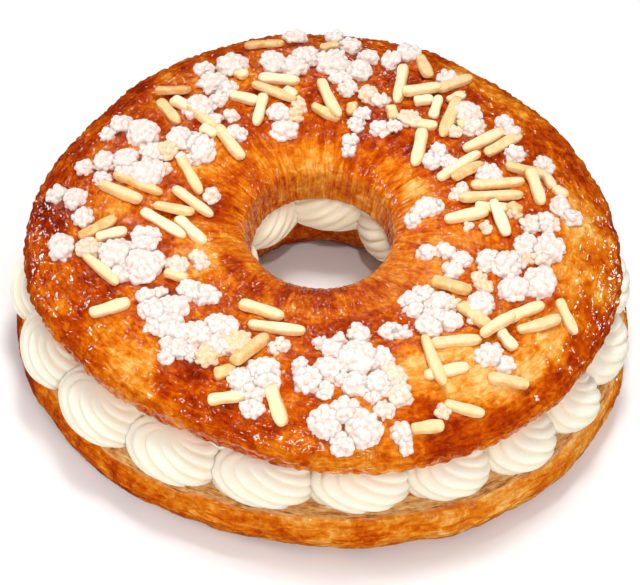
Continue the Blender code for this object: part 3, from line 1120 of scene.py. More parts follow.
def sugar_material(settings):
    """Pearl sugar: milky grains, and peach where glaze has soaked in. Painted shade makes the sugar
    pinker and darker in the gaps between the grains and towards the foot of each dome. Painted light:
    the gaps are also made to give off a faint light, as if light came to them through the grains, and
    fine facets break up the shine."""
    material, tree, shader = new_material(
        "Pearl Sugar",
        Subsurface_Weight=0.7,
        Subsurface_Radius=(0.0030, 0.0030, 0.0030),
        Subsurface_Scale=0.6,
        Roughness=0.30,
        Specular_IOR_Level=0.35,
    )
    grain = place_group(
        tree,
        "Soft Grain",
        build_soft_grain,
        {"Vector": object_place(tree), "Scale": 1100.0, "Contrast": 1.2},
    )
    # Painted shade: gap, mixed with a little random tone, darkens the sugar in its creases
    shade = maths(tree, "MULTIPLY", grain["Mask"], 0.2)
    gap = maths(tree, "ADD", attribute(tree, "gap"), shade, clamp=True)
    colour = blend_colour(tree, gap, tuple(settings.grain_colour), tuple(settings.crease_shade_colour))
    colour = blend_colour(tree, attribute(tree, "peach"), colour, tuple(settings.peach_colour))
    tree.links.new(colour, shader.inputs["Base Color"])
    # Painted light: the creases give off a faint light of the crease shade colour, as if lit through
    # the grains
    crease_light = blend_colour(tree, gap, (0.0, 0.0, 0.0, 1.0), tuple(settings.crease_shade_colour))
    tree.links.new(crease_light, shader.inputs["Emission Color"])
    shader.inputs["Emission Strength"].default_value = SUGAR_PAINTED_LIGHT
    facets = maths(tree, "MULTIPLY", cells(tree, object_place(tree), 800.0), -1.0)
    height = maths(tree, "ADD", facets, maths(tree, "MULTIPLY", grain["Height"], 0.4))
    bump(tree, shader, height, 0.35, 0.0004)
    return material


def almond_material(settings):
    """Blanched almond: cream where it is raw, golden where it is toasted, and darker along its sides
    and ends, which is partly toasting and partly painted shade.
    """
    material, tree, shader = new_material(
        "Almond",
        Subsurface_Weight=0.25,
        Subsurface_Radius=(0.0030, 0.0018, 0.0010),
        Subsurface_Scale=0.4,
        Roughness=0.30,
    )
    grain = place_group(
        tree,
        "Soft Grain",
        build_soft_grain,
        {"Vector": object_place(tree), "Scale": 260.0, "Contrast": 2.2},
    )
    uneven_toast = spread(tree, grain["Mask"], 0.2, 0.8, 0.6, 1.3)
    # The toast attribute carries toasting and painted shade on the sliver's sides and ends
    toast = maths(tree, "MULTIPLY", attribute(tree, "toast"), uneven_toast)
    colour = colour_ramp(
        tree,
        toast,
        (
            (0.0, tuple(settings.raw_colour)),
            (0.45, tuple(settings.toasted_colour)),
            (1.0, tuple(settings.dark_colour)),
        ),
    )
    tree.links.new(colour, shader.inputs["Base Color"])
    bump(tree, shader, grain["Height"], 0.3, 0.0004)
    return material


# ---- settings --------------------------------------------------------------------------------


class CrustSettings(bpy.types.PropertyGroup):
    """Relief of the two halves' crust."""

    lump_height: FloatProperty(
        name="Lump Height",
        description="Height of the broad unevenness of the crust",
        default=0.0012,
        unit="LENGTH",
        subtype="DISTANCE",
    )
    wrinkle_height: FloatProperty(
        name="Wrinkle Height",
        description="Height of the wrinkles that run down the crust",
        default=0.0011,
        unit="LENGTH",
        subtype="DISTANCE",
    )
    blister_height: FloatProperty(
        name="Blister Height",
        description="Height of the small blisters of the glaze",
        default=0.0008,
        unit="LENGTH",
        subtype="DISTANCE",
    )
    polish: FloatProperty(
        name="Polish",
        description="Scale of the glaze's roughness: less is shinier",
        default=1.0,
        min=0.2,
        max=3.0,
    )
    gloss: FloatProperty(
        name="Gloss",
        description="Strength of the glaze's reflection",
        default=0.85,
        subtype="FACTOR",
        min=0.0,
        max=1.0,
    )


class CreamSettings(bpy.types.PropertyGroup):
    """Piped cream."""

    ridges: IntProperty(
        name="Ridges", description="Ridges round each rosette", default=10, min=3, max=16
    )
    ridge_depth: FloatProperty(
        name="Ridge Depth",
        description="Depth of the grooves between the ridges",
        default=0.0016,
        unit="LENGTH",
        subtype="DISTANCE",
    )
    swirl: FloatProperty(
        name="Swirl",
        description="Turn of a ridge from the middle of a rosette to its foot",
        default=math.radians(155.0),
        unit="ROTATION",
        subtype="ANGLE",
    )
    ridge_colour: FloatVectorProperty(
        name="Ridge Colour",
        description="Cream on the ridges",
        size=4,
        subtype="COLOR",
        default=paint(252, 245, 229),
    )
    # Painted shade: the darker, warmer cream painted into the grooves, the feet, the hole and the
    # core
    groove_shade_colour: FloatVectorProperty(
        name="Groove Colour",
        description="Cream in the grooves",
        size=4,
        subtype="COLOR",
        default=paint(250, 236, 210),
    )


class SugarSettings(bpy.types.PropertyGroup):
    """Pearl sugar."""

    grain_depth: FloatProperty(
        name="Grain Depth",
        description="Depth of the creases between the balls of sugar",
        default=0.0016,
        unit="LENGTH",
        subtype="DISTANCE",
    )
    grain_colour: FloatVectorProperty(
        name="Grain Colour",
        description="Sugar on its balls",
        size=4,
        subtype="COLOR",
        default=paint(233, 224, 219),
    )
    # Painted shade: the darker, pinker sugar painted into the creases and towards the foot of each
    # dome
    crease_shade_colour: FloatVectorProperty(
        name="Gap Colour",
        description="Sugar in the creases between its balls",
        size=4,
        subtype="COLOR",
        default=paint(231, 208, 196),
    )
    peach_colour: FloatVectorProperty(
        name="Peach Colour",
        description="Sugar soaked with glaze",
        size=4,
        subtype="COLOR",
        default=paint(238, 204, 162),
    )


class AlmondSettings(bpy.types.PropertyGroup):
    """Almond slivers."""

    width: FloatProperty(
        name="Width",
        description="Middle width of a sliver",
        default=0.0053,
        unit="LENGTH",
        subtype="DISTANCE",
    )
    thickness: FloatProperty(
        name="Thickness",
        description="Middle thickness of a sliver",
        default=0.0034,
        unit="LENGTH",
        subtype="DISTANCE",
    )
    raw_colour: FloatVectorProperty(
        name="Raw Colour",
        description="Blanched almond",
        size=4,
        subtype="COLOR",
        default=paint(250, 230, 196),
    )
    toasted_colour: FloatVectorProperty(
        name="Toasted Colour",
        description="Lightly toasted almond",
        size=4,
        subtype="COLOR",
        default=paint(241, 205, 148),
    )
    dark_colour: FloatVectorProperty(
        name="Dark Colour",
        description="Well toasted almond",
        size=4,
        subtype="COLOR",
        default=paint(222, 162, 90),
    )


class StageSettings(bpy.types.PropertyGroup):
    """Floor, light and camera."""

    elevation: FloatProperty(
        name="Elevation",
        description="Camera's angle above the horizon",
        default=math.radians(47.13),
        unit="ROTATION",
        subtype="ANGLE",
    )
    roll: FloatProperty(
        name="Roll",
        description="Camera's turn about its own line of sight",
        default=math.radians(1.553),
        unit="ROTATION",
        subtype="ANGLE",
    )
    distance: FloatProperty(
        name="Distance",
        description="Distance from the camera to its target",
        default=0.8619,
        unit="LENGTH",
        subtype="DISTANCE",
    )
    lens: FloatProperty(
        name="Lens", description="Focal length in millimetres", default=109.5, min=10.0
    )
    sky: FloatProperty(name="Sky", description="Strength of the even white light", default=0.46)
    sky_shine: FloatProperty(
        name="Sky Shine", description="Strength of the even light in reflections", default=0.02
    )
    key: FloatProperty(
        name="Key", description="Power of the main soft light", default=7.7, unit="POWER"
    )
    fill: FloatProperty(
        name="Fill", description="Power of the front soft light", default=4.8, unit="POWER"
    )
    side: FloatProperty(
        name="Side", description="Power of the left soft light", default=3.0, unit="POWER"
    )
    glint: FloatProperty(
        name="Glint", description="Brightness of the lights seen in the glaze", default=17.0
    )
    hole_spot: FloatProperty(
        name="Hole Spot", description="Power of the light down the hole", default=90.0, unit="POWER"
    )


# ---- pieces ----------------------------------------------------------------------------------


def patch_sum(patches, points):
    """Sum of soft oval patches: each falls from its change at its middle to nothing at its edge,
    and the edge is made ragged by noise."""
    angle = np.arctan2(points[..., 1] - CENTRE_SHIFT[1], points[..., 0] - CENTRE_SHIFT[0])
    radius = np.hypot(points[..., 0] - CENTRE_SHIFT[0], points[..., 1] - CENTRE_SHIFT[1])
    ragged = PATCH_RAGGEDNESS * layered_noise(points / PATCH_RAGGED_SIZE, 61, 3)
    total = np.zeros(points.shape[:-1])
    for middle, distance, along, across, change in patches:
        turn = np.angle(np.exp(1j * (angle - math.radians(middle))))
        share_along = turn * distance * MM / (0.5 * along * MM)
        share_across = (radius - distance * MM) / (0.5 * across * MM)
        reach = np.hypot(share_along, share_across)
        total += change * (1.0 - smooth_step(*PATCH_FADE, reach + ragged))
    return total


def warp_of(points, seed):
    """A shift in three directions that bends a pattern: layered noise with a seed for each."""
    return np.stack([layered_noise(points, seed + n, 3) for n in range(3)], axis=-1)


def crust_relief(points, sweep, settings):
    """Height of the top crust above its plain form, in metres: broad lumps, wrinkles stretched down
    the section and bent by a warp, and rounded blisters between fine creases."""
    warp = warp_of(points / CRUST_WARP_SIZE, 5)
    lumps = layered_noise(points / CRUST_LUMP_SIZE, 3, 3)
    wrinkles = ridge_noise(sweep / CRUST_WRINKLE_SIZE + 0.9 * warp, 11, 3) - WRINKLE_LEVEL
    nearest, second = cell_distances(points / CRUST_BLISTER_SIZE + 0.35 * warp, 23)
    blisters = smooth_step(0.0, 0.5, second - nearest) - BLISTER_LEVEL
    return (
        settings.lump_height * lumps
        + settings.wrinkle_height * wrinkles
        + settings.blister_height * blisters
    )


def crust_browning(points, sweep, radius, relief):
    """Browning of the top crust: clouds, streaks down the section and specks, darker in the hollows
    of the relief, and paler at the ragged lower edge, in the funnel and in the pale patches."""
    clouds = layered_noise(points / CRUST_CLOUD_SIZE, 41, 3)
    streaks = layered_noise(sweep / CRUST_STREAK_SIZE, 31, 3)
    browning = CRUST_BROWNING + CRUST_CLOUDS * clouds + CRUST_STREAKS * streaks
    browning += CRUST_SPECKS * layered_noise(points / CRUST_SPECK_SIZE, 47, 3)
    browning += CRUST_HOLLOWS * np.clip(-relief, -0.002, 0.002)
    edge = 1.0 - smooth_step(CUT_HIGH + 0.001, CUT_HIGH + 0.011, points[..., 2])
    ragged = smooth_step(-0.5, 0.4, layered_noise(sweep / CRUST_TEAR_SIZE, 37, 2))
    browning += CRUST_EDGE * edge * ragged * (radius > 0.1)[None, :]
    browning += CRUST_FUNNEL * (1.0 - smooth_step(0.040, 0.075, radius))[None, :]
    browning += CRUST_PATCH_STRENGTH * patch_sum(CRUST_PATCHES, points)
    return np.clip(browning, *CRUST_BROWNING_ENDS)


class KINGCAKE_OT_top_crust(bpy.types.Operator):
    """Build the glazed top half"""

    bl_idname = "kingcake.top_crust"
    bl_label = "Top Crust"
    bl_options = {"REGISTER", "UNDO"}

    def execute(self, context):
        settings = context.scene.kingcake_crust
        radius, height = dome_curve()
        under = [
            (DOME_GIRTH_RADIUS - 0.0020, CUT_HIGH + 0.0080),
            (DOME_EDGE_RADIUS + 0.0040, CUT_HIGH + 0.0024),
            (DOME_EDGE_RADIUS, CUT_HIGH),
            (RIM_RADIUS + 0.0025, CUT_HIGH),
            (RIM_RADIUS, CUT_HIGH + 0.0010),
        ]
        columns, rows = CRUST_GRID
        radius, height, walked = section_rows(
            np.vstack([np.stack([radius, height], axis=1), under]),
            SECTION_ROUNDING,
            (0.080, CUT_HIGH),
            lambda r, h: (h < CUT_HIGH + 0.0012) & (r > 0.042) & (r < 0.112),
            rows,
        )
        crown = np.clip((height - DOME_GIRTH_HEIGHT) / (CRUST_TOP - DOME_GIRTH_HEIGHT), 0.0, 1.0)
        points, angle = ring_grid(radius, height, columns, RING_WAVES + DOME_WAVES, crown)
        normal = outward_normals(points)
        sweep = sweep_place(walked, angle)
        relief = crust_relief(points, sweep, settings)
        cut = 1.0 - smooth_step(CUT_HIGH + 0.0006, CUT_HIGH + 0.0020, points[..., 2])
        cut = cut * (radius > RIM_RADIUS + 0.003)[None, :]
        calm = 0.45 + 0.55 * smooth_step(0.046, 0.060, radius)[None, :]
        points = points + normal * (relief * calm * (1.0 - 0.7 * cut))[..., None]
        inside = 1.0 - smooth_step(0.050, 0.072, radius)[None, :]
        browning = crust_browning(points, sweep, radius, relief)
        piece = ring_piece(
            "top_crust",
            points,
            crust_material("Glazed Crust", settings.polish, settings.gloss),
            {
                "browning": browning,
                "cut": cut,
                "torn": smooth_step(0.42, 0.20, browning),
                "inside": np.broadcast_to(inside, cut.shape),
                "sweep": sweep,
            },
        )
        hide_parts("top_half")
        return {"FINISHED"}


class KINGCAKE_OT_bottom_half(bpy.types.Operator):
    """Build the bottom half with its cut face"""

    bl_idname = "kingcake.bottom_half"
    bl_label = "Bottom Half"
    bl_options = {"REGISTER", "UNDO"}

    def execute(self, context):
        settings = context.scene.kingcake_crust
        corners = np.array(
            [
                (CUT_EDGE_RADIUS, CUT_LOW),
                (GIRTH_RADIUS - 0.0010, CUT_LOW - 0.0050),
                (GIRTH_RADIUS, GIRTH_HEIGHT),
                (GIRTH_RADIUS - 0.0030, 0.0050),
                (GIRTH_RADIUS - 0.0080, 0.0012),
                (FOOT_RADIUS, 0.0),
                (HOLE_FOOT_RADIUS, 0.0),
                (HOLE_WALL_RADIUS + 0.0050, 0.0022),
                (HOLE_WALL_RADIUS + 0.0012, 0.0090),
                (HOLE_WALL_RADIUS, CUT_LOW - 0.0030),
                (HOLE_WALL_RADIUS + 0.0020, CUT_LOW),
            ]
        )
        columns, rows = SLAB_GRID
        radius, height, walked = section_rows(
            corners,
            SECTION_ROUNDING,
            (0.090, 0.0),
            lambda r, h: (r > 0.052) & (r < 0.112),
            rows,
        )
        points, angle = ring_grid(radius, height, columns, RING_WAVES + BOTTOM_WAVES, 0.0 * height)
        normal = outward_normals(points)
        sweep = sweep_place(walked, angle)
        circle = np.stack([np.cos(angle), np.sin(angle), 0.0 * angle], axis=-1)
        rise = SLAB_EDGE_HEIGHT * layered_noise(circle * SLAB_EDGE_WAVES, 69, 3)
        top = smooth_step(CUT_LOW - 0.0018, CUT_LOW - 0.0006, points[..., 2] + rise)
        foot = 1.0 - smooth_step(0.0004, 0.0020, points[..., 2])
        warp = warp_of(points / SLAB_WARP_SIZE, 75)
        wrinkles = ridge_noise(points / SLAB_WRINKLE_SIZE + 0.8 * warp, 71, 3) - WRINKLE_LEVEL
        lumps = layered_noise(points / SLAB_LUMP_SIZE, 73, 3)
        fibres = layered_noise(sweep / SLAB_FIBRE_SIZE + 0.6 * warp, 79, 3)
        side = settings.wrinkle_height * wrinkles + 0.8 * settings.lump_height * lumps
        relief = side * (1.0 - top) + SLAB_FIBRE_HEIGHT * fibres * top
        relief = relief * (1.0 - foot)
        points = points + normal * relief[..., None]
        points[..., 2] = np.maximum(points[..., 2], 0.0)
        browning = SLAB_BROWNING + SLAB_CLOUDS * layered_noise(points / SLAB_CLOUD_SIZE, 81, 3)
        browning += SLAB_WRINKLES * wrinkles
        browning += SLAB_FOOT * (1.0 - smooth_step(0.001, 0.006, points[..., 2]))
        browning += SLAB_UPPER_SIDE * smooth_step(CUT_LOW - 0.007, CUT_LOW, points[..., 2])
        spots = layered_noise(points / SLAB_SPOT_SIZE, 87, 3)
        browning += SLAB_PALE_SPOTS * smooth_step(0.35, 0.8, spots)
        # Painted light: paler towards the right front, as if lit from that side
        browning += SLAB_LIT_SIDE * np.cos(angle - SLAB_LIT_SIDE_ANGLE)
        browning += SLAB_HOLE_WALL * (1.0 - smooth_step(0.043, 0.050, radius))[None, :]
        toasted = smooth_step(0.007, 0.001, np.abs(radius - CUT_EDGE_RADIUS))[None, :]
        browning = browning * (1.0 - top) + SLAB_CUT_EDGE * toasted * top
        browning = np.clip(browning, *SLAB_BROWNING_ENDS)
        piece = ring_piece(
            "bottom_slab",
            points,
            crust_material("Bottom Crust", 1.2 * settings.polish, 0.8 * settings.gloss),
            {
                "browning": browning,
                "cut": top,
                "torn": smooth_step(0.42, 0.22, browning),
                "inside": np.zeros_like(top),
                "sweep": sweep,
            },
        )
        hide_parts("bottom_half")
        return {"FINISHED"}


def rosettes(places, reaches, widths, ridges, depth, swirl, columns, rows):
    """Vertices, faces and painted shade of a row of piped rosettes, darker in the grooves and at the
    foot.

    Each is a dome turned about its own upright axis: its radius is the sine of the turn from its
    top to its foot, raised to a power, and its height the cosine. Its outline is made of four
    quarters of ovals, with their own reach away from the row's middle and towards it, and their own
    width to each side. Rounded ridges wind round it, because their place in the turn round the axis
    shifts with the walk from top to foot. A ridge is one less a power of the distance from its
    middle, so that the grooves are narrow. places holds the angle and the radius of each rosette's
    top, reaches the two reaches, and widths the two widths of each rosette."""
    angles, row_radii = places
    count = len(angles)
    dice = np.random.default_rng(17)
    turn = np.linspace(0.0, 2.0 * math.pi, columns, endpoint=False)[None, :, None]
    walk = np.linspace(0.03, 0.985, rows)[None, None, :]
    foot = CUT_LOW - ROSETTE_SINK
    top = CUT_HIGH + ROSETTE_RISE
    slope = walk * ROSETTE_TURN * math.pi
    broad = np.sin(np.minimum(slope, math.pi / 2)) ** ROSETTE_WIDTH_POWER
    under = np.where(slope > math.pi / 2, np.cos(slope - math.pi / 2) ** 0.5, 1.0)
    share = broad * ((1.0 - ROSETTE_TUCK) + ROSETTE_TUCK * under)
    rise = 0.5 + 0.5 * np.cos(walk**ROSETTE_HEIGHT_POWER * math.pi)
    height = foot + (top - foot) * rise
    size = 1.0 + ROSETTE_SIZE_SPREAD * dice.standard_normal(count)[:, None, None]
    phase = dice.uniform(0.0, 2.0 * math.pi, count)[:, None, None]
    bend = ROSETTE_BEND_SPREAD * dice.standard_normal(count)[:, None, None]
    wound = turn - swirl * walk * (1.0 + 0.12 * bend * walk)
    winding = ridges * wound / (2.0 * math.pi) + phase
    across = 2.0 * np.abs(winding - np.floor(winding) - 0.5)
    ridge = 1.0 - across**ROSETTE_RIDGE_POWER
    swell = smooth_step(0.05, 0.40, walk) * (1.0 - 0.75 * smooth_step(0.88, 1.0, walk))
    cut_in = depth * (ridge - ROSETTE_RIDGE_LEVEL) * swell
    away = np.cos(turn)
    aside = np.sin(turn)
    reach = np.where(away > 0.0, reaches[0], reaches[1])
    width = np.where(aside > 0.0, widths[1][:, None, None], widths[0][:, None, None])
    radial = away * (reach * share * size + cut_in)
    tangential = aside * (width * share * size + cut_in)
    middle_radius = row_radii[:, None, None]
    angle = angles[:, None, None] + tangential / middle_radius
    x, y = uneven(middle_radius + radial, angle, RING_WAVES)
    z = height + 0.45 * cut_in * np.cos(np.minimum(slope, 1.5))
    points = np.stack([x, y, np.broadcast_to(z, x.shape)], axis=-1)
    pole_x, pole_y = uneven(row_radii, angles, RING_WAVES)
    pole_ends = [
        np.stack([pole_x, pole_y, np.full(count, level)], axis=-1) for level in (top, foot)
    ]
    # Painted shade: darker cream in the grooves between the ridges and towards the foot
    groove = np.broadcast_to((1.0 - ridge) ** 1.5 * swell + 0.4 * (1.0 - rise) ** 3, x.shape)
    groove = np.pad(np.clip(groove, 0.0, 1.0).reshape(count, -1), ((0, 0), (0, 2)))
    vertices, quads, triangles = many_forms(points, np.stack(pole_ends, axis=1), columns, rows)
    return vertices, quads, triangles, groove


class KINGCAKE_OT_cream(bpy.types.Operator):
    """Build the piped cream"""

    bl_idname = "kingcake.cream"
    bl_label = "Piped Cream"
    bl_options = {"REGISTER", "UNDO"}

    def execute(self, context):
        settings = context.scene.kingcake_cream
        material = cream_material(settings)
        front = np.radians(FRONT_JOINTS)
        others = OUTER_ROSETTES - len(front) + 1
        rest = np.linspace(front[-1], front[0] + 2.0 * math.pi, others + 1)[1:]
        joints = np.concatenate([front, rest])
        pitch = np.diff(joints)
        angles = joints[:-1] + OUTER_MIDDLE * pitch
        radii = OUTER_ROW_RADIUS + OUTER_ROW_OVAL * np.cos(2.0 * angles)
        half = 0.5 * OUTER_OVERLAP * pitch * radii
        vertices, quads, triangles, groove = rosettes(
            (angles, radii),
            (OUTER_REACH, OUTER_BACK_REACH),
            (half * (1.0 + OUTER_LEAN), half * (1.0 - OUTER_LEAN)),
            settings.ridges,
            settings.ridge_depth,
            settings.swirl,
            *ROSETTE_GRID,
        )
        outer = make_piece(
            "outer_rosettes", vertices, quads, triangles, material, {"groove": groove}
        )
        step = 2.0 * math.pi / INNER_ROSETTES
        angles = math.radians(INNER_JOINT) + step * (np.arange(INNER_ROSETTES) + 0.5)
        radii = np.full(INNER_ROSETTES, INNER_ROW_RADIUS)
        half = np.full(INNER_ROSETTES, INNER_WIDTH)
        vertices, quads, triangles, groove = rosettes(
            (angles, radii),
            (INNER_BACK_REACH, INNER_REACH),
            (half, half),
            settings.ridges,
            settings.ridge_depth,
            -settings.swirl,
            *ROSETTE_GRID,
        )
        # Painted shade: the inner rosettes in the hole are painted darker and warmer
        inner_shade = np.clip(groove + INNER_SHADE, 0.0, 1.0)
        inner = make_piece("inner_rosettes", vertices, quads, triangles, material, {"groove": inner_shade})
        corners = np.array(
            [
                (CORE_OUTER_RADIUS, CUT_LOW),
                (CORE_OUTER_RADIUS, CUT_HIGH),
                (CORE_INNER_RADIUS, CUT_HIGH),
                (CORE_INNER_RADIUS, CUT_LOW),
            ]
        )
        radius, height, _ = closed_section(corners, CORE_ROUNDING)
        columns, rows = CORE_GRID
        pick = np.linspace(0, len(radius), rows, endpoint=False).astype(int)
        points, _ = ring_grid(radius[pick], height[pick], columns, RING_WAVES, 0.0 * height[pick])
        points[..., 2] += 0.0004 * layered_noise(points / 0.012, 91, 2)
        # Painted shade: the core between the rosettes is painted darker and warmer
        shade = np.full(points.shape[:-1], CORE_SHADE)
        core = ring_piece("cream_core", points, material, {"groove": shade})
        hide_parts("cream_filling")
        return {"FINISHED"}


def crust_tree():
    """A search tree of the top crust, for laying things on it."""
    crust = bpy.data.objects.get("top_crust")
    if crust is None:
        raise RuntimeError("the top crust comes before what lies on it")
    return BVHTree.FromObject(crust, bpy.context.evaluated_depsgraph_get())


def lay_on_crust(tree, x, y):
    """Point and outward direction of the crust under a place in the plan. The direction is the mean
    of a few round it, so that a wrinkle doesn't tip what lies on it."""
    directions = Vector((0.0, 0.0, 0.0))
    middle = None
    for dx, dy in ((0.0, 0.0), (0.003, 0.0), (-0.003, 0.0), (0.0, 0.003), (0.0, -0.003)):
        hit, normal, _, _ = tree.ray_cast(Vector((x + dx, y + dy, 0.2)), Vector((0.0, 0.0, -1.0)))
        if hit is None or hit.z < CUT_HIGH:
            continue
        directions += normal
        if middle is None:
            middle = hit
    if middle is None:
        raise RuntimeError(f"nothing of the crust lies under {x:.4f}, {y:.4f}")
    return np.array(middle), np.array(directions.normalized())


def plan_place(angle, distance):
    """x and y of a place on the crust, from its angle in degrees and its distance in mm."""
    x, y = uneven(distance * MM, math.radians(angle), RING_WAVES + DOME_WAVES)
    return float(x), float(y)


def swelling(points, seed):
    """Height of balls round random points: the upper part of a circle in the distance from the
    nearest point, with a soft crease where it meets the next ball."""
    nearest, _ = cell_distances(points, seed, BALL_STRAY)
    return np.sqrt(np.clip(1.0 - (nearest / BALL_REACH) ** 2, 0.0, 1.0))


def ring_axes(angle, normal):
    """Three axes for what lies on the crust: along the ring at an angle in degrees, across it, and
    outwards from the crust."""
    heading = math.radians(angle)
    along = np.array([-math.sin(heading), math.cos(heading), 0.0])
    along -= normal * (along @ normal)
    along /= np.linalg.norm(along)
    return np.stack([along, np.cross(normal, along), normal])


def sugar_domes(patches, tree, depth, columns, rows):
    """Vertices, faces and attributes of patches of pearl sugar, one dome for each patch.

    A dome is an oval cap that bulges under its own edge into the crust, with an edge made uneven by
    noise. It swells into balls round random points a few millimetres apart."""
    turn = np.linspace(0.0, 2.0 * math.pi, columns, endpoint=False)
    lean = np.linspace(SUGAR_FIRST_LEAN, SUGAR_LEAN, rows)
    turn, lean = np.meshgrid(turn, lean, indexing="ij")
    flat_x = np.sin(lean) * np.cos(turn)
    flat_y = np.sin(lean) * np.sin(turn)
    cap = np.stack([flat_x, flat_y, np.cos(lean)], axis=-1)
    cap = np.vstack([cap.reshape(-1, 3), [(0.0, 0.0, 1.0), (0.0, 0.0, math.cos(SUGAR_LEAN))]])
    grids, poles, crease_shades = [], [], []
    for number, (angle, distance, along, across, _) in enumerate(patches):
        middle, normal = lay_on_crust(tree, *plan_place(angle, distance))
        axes = ring_axes(angle, normal)
        size = np.array([along, across]) * MM
        rise = SUGAR_HEIGHT_SHARE * size.min() + SUGAR_HEIGHT
        half = np.array([*(SUGAR_WIDTH_SHARE * size), rise])
        edge = 1.0 + SUGAR_EDGE * layered_noise(cap * 1.9 + 31.0 * number, 53, 2)[:, None]
        local = cap * half * edge
        outward = cap / half
        outward /= np.linalg.norm(outward, axis=1, keepdims=True)
        ball = swelling((local + 0.037 * number) / SUGAR_BALL, 131)
        height = depth * (ball - SUGAR_LEVEL)
        world = middle + normal * SUGAR_LIFT + (local + outward * height[:, None]) @ axes
        grids.append(world[:-2].reshape(columns, rows, 3))
        poles.append(world[-2:])
        # Painted shade: darker sugar in the creases between the balls and towards the dome's low edge
        crease_shades.append(np.clip(0.9 * (1.0 - ball) + 0.3 * (0.2 - cap[:, 2]), 0.0, 1.0))
    vertices, quads, triangles = many_forms(np.array(grids), np.array(poles), columns, rows)
    peach = np.repeat([patch[4] for patch in patches], len(cap))
    return vertices, quads, triangles, {"gap": np.array(crease_shades), "peach": peach}


class KINGCAKE_OT_sugar(bpy.types.Operator):
    """Build the pearl sugar, large clumps and small"""

    bl_idname = "kingcake.sugar"
    bl_label = "Pearl Sugar"
    bl_options = {"REGISTER", "UNDO"}

    def execute(self, context):
        settings = context.scene.kingcake_sugar
        tree = crust_tree()
        material = sugar_material(settings)
        clumps = sorted(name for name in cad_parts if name.startswith("sugar_clump"))
        made = sugar_domes(LARGE_SUGAR, tree, settings.grain_depth, *LARGE_SUGAR_GRID)
        large = make_piece("sugar_clumps", *made[:3], material, made[3])
        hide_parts(*clumps)
        made = sugar_domes(SMALL_SUGAR, tree, settings.grain_depth, *SMALL_SUGAR_GRID)
        small = make_piece("small_sugar", *made[:3], material, made[3])
        return {"FINISHED"}


def sliver_line(tree, sliver, thickness):
    """Middle, length and three axes (ahead, side, up) of a sliver that lies between its two ends.
    It is lifted until it clears most of the highest bump at three places under it."""
    angle_a, distance_a, lift_a, angle_b, distance_b, lift_b, _ = sliver
    hit_a, normal_a = lay_on_crust(tree, *plan_place(angle_a, distance_a))
    hit_b, normal_b = lay_on_crust(tree, *plan_place(angle_b, distance_b))
    normal = normal_a + normal_b
    normal /= np.linalg.norm(normal)
    start = hit_a + normal * (lift_a * MM)
    stop = hit_b + normal * (lift_b * MM)
    chord = stop - start
    span = np.linalg.norm(chord)
    rise = 0.0
    for share in (0.25, 0.5, 0.75):
        place = start + share * chord
        hit, _ = lay_on_crust(tree, place[0], place[1])
        rise = max(rise, float((hit - place) @ normal))
    middle = (start + stop) / 2 + normal * (thickness * SLIVER_STAND + SLIVER_CLEAR * rise)
    ahead = chord / span
    side = np.cross(normal, ahead)
    side /= np.linalg.norm(side)
    return middle, span + SLIVER_EXTRA, (ahead, side, np.cross(ahead, side))


def sliver_surface(turn, walk, line, width, thickness, dice):
    """Points of one sliver, and where on it they lie: across and above, each from -1 to 1.

    Its section is a box with rounded corners, a circle whose sine and cosine are raised to powers
    below 1. Its ends are blunt: the width falls with a high power of the walk from the middle. It
    tapers to one end, bows sideways in a parabola and leans to one side."""
    middle, length, (ahead, side, up) = line
    blunt = dice.uniform(*SLIVER_BLUNT)
    taper = dice.uniform(-SLIVER_TAPER, SLIVER_TAPER)
    bow = dice.uniform(-SLIVER_BOW, SLIVER_BOW)
    lean = dice.uniform(-SLIVER_LEAN, SLIVER_LEAN)
    round_end = (1.0 - np.abs(walk) ** blunt) ** 0.5
    round_up = (1.0 - np.abs(walk) ** (blunt + 3.0)) ** 0.5
    cos_turn, sin_turn = np.cos(turn), np.sin(turn)
    across = np.sign(cos_turn) * np.abs(cos_turn) ** SLIVER_SECTION[0]
    above = np.sign(sin_turn) * np.abs(sin_turn) ** SLIVER_SECTION[1]
    wide = 0.5 * width * across * round_end * (1.0 + taper * walk)
    high = 0.5 * thickness * above * round_up * (1.0 - 0.10 * across * lean)
    wide = wide * (1.0 - 0.07 * above) + bow * (1.0 - walk**2)
    wobble = SLIVER_WOBBLE * np.sin(5.0 * walk + 9.0 * taper) * across
    along = 0.5 * length * walk + 0.0 * turn
    points = (
        middle
        + along[..., None] * ahead
        + (wide + wobble)[..., None] * (side * math.cos(lean) + up * math.sin(lean))
        + high[..., None] * (up * math.cos(lean) - side * math.sin(lean))
    )
    return points, across, above


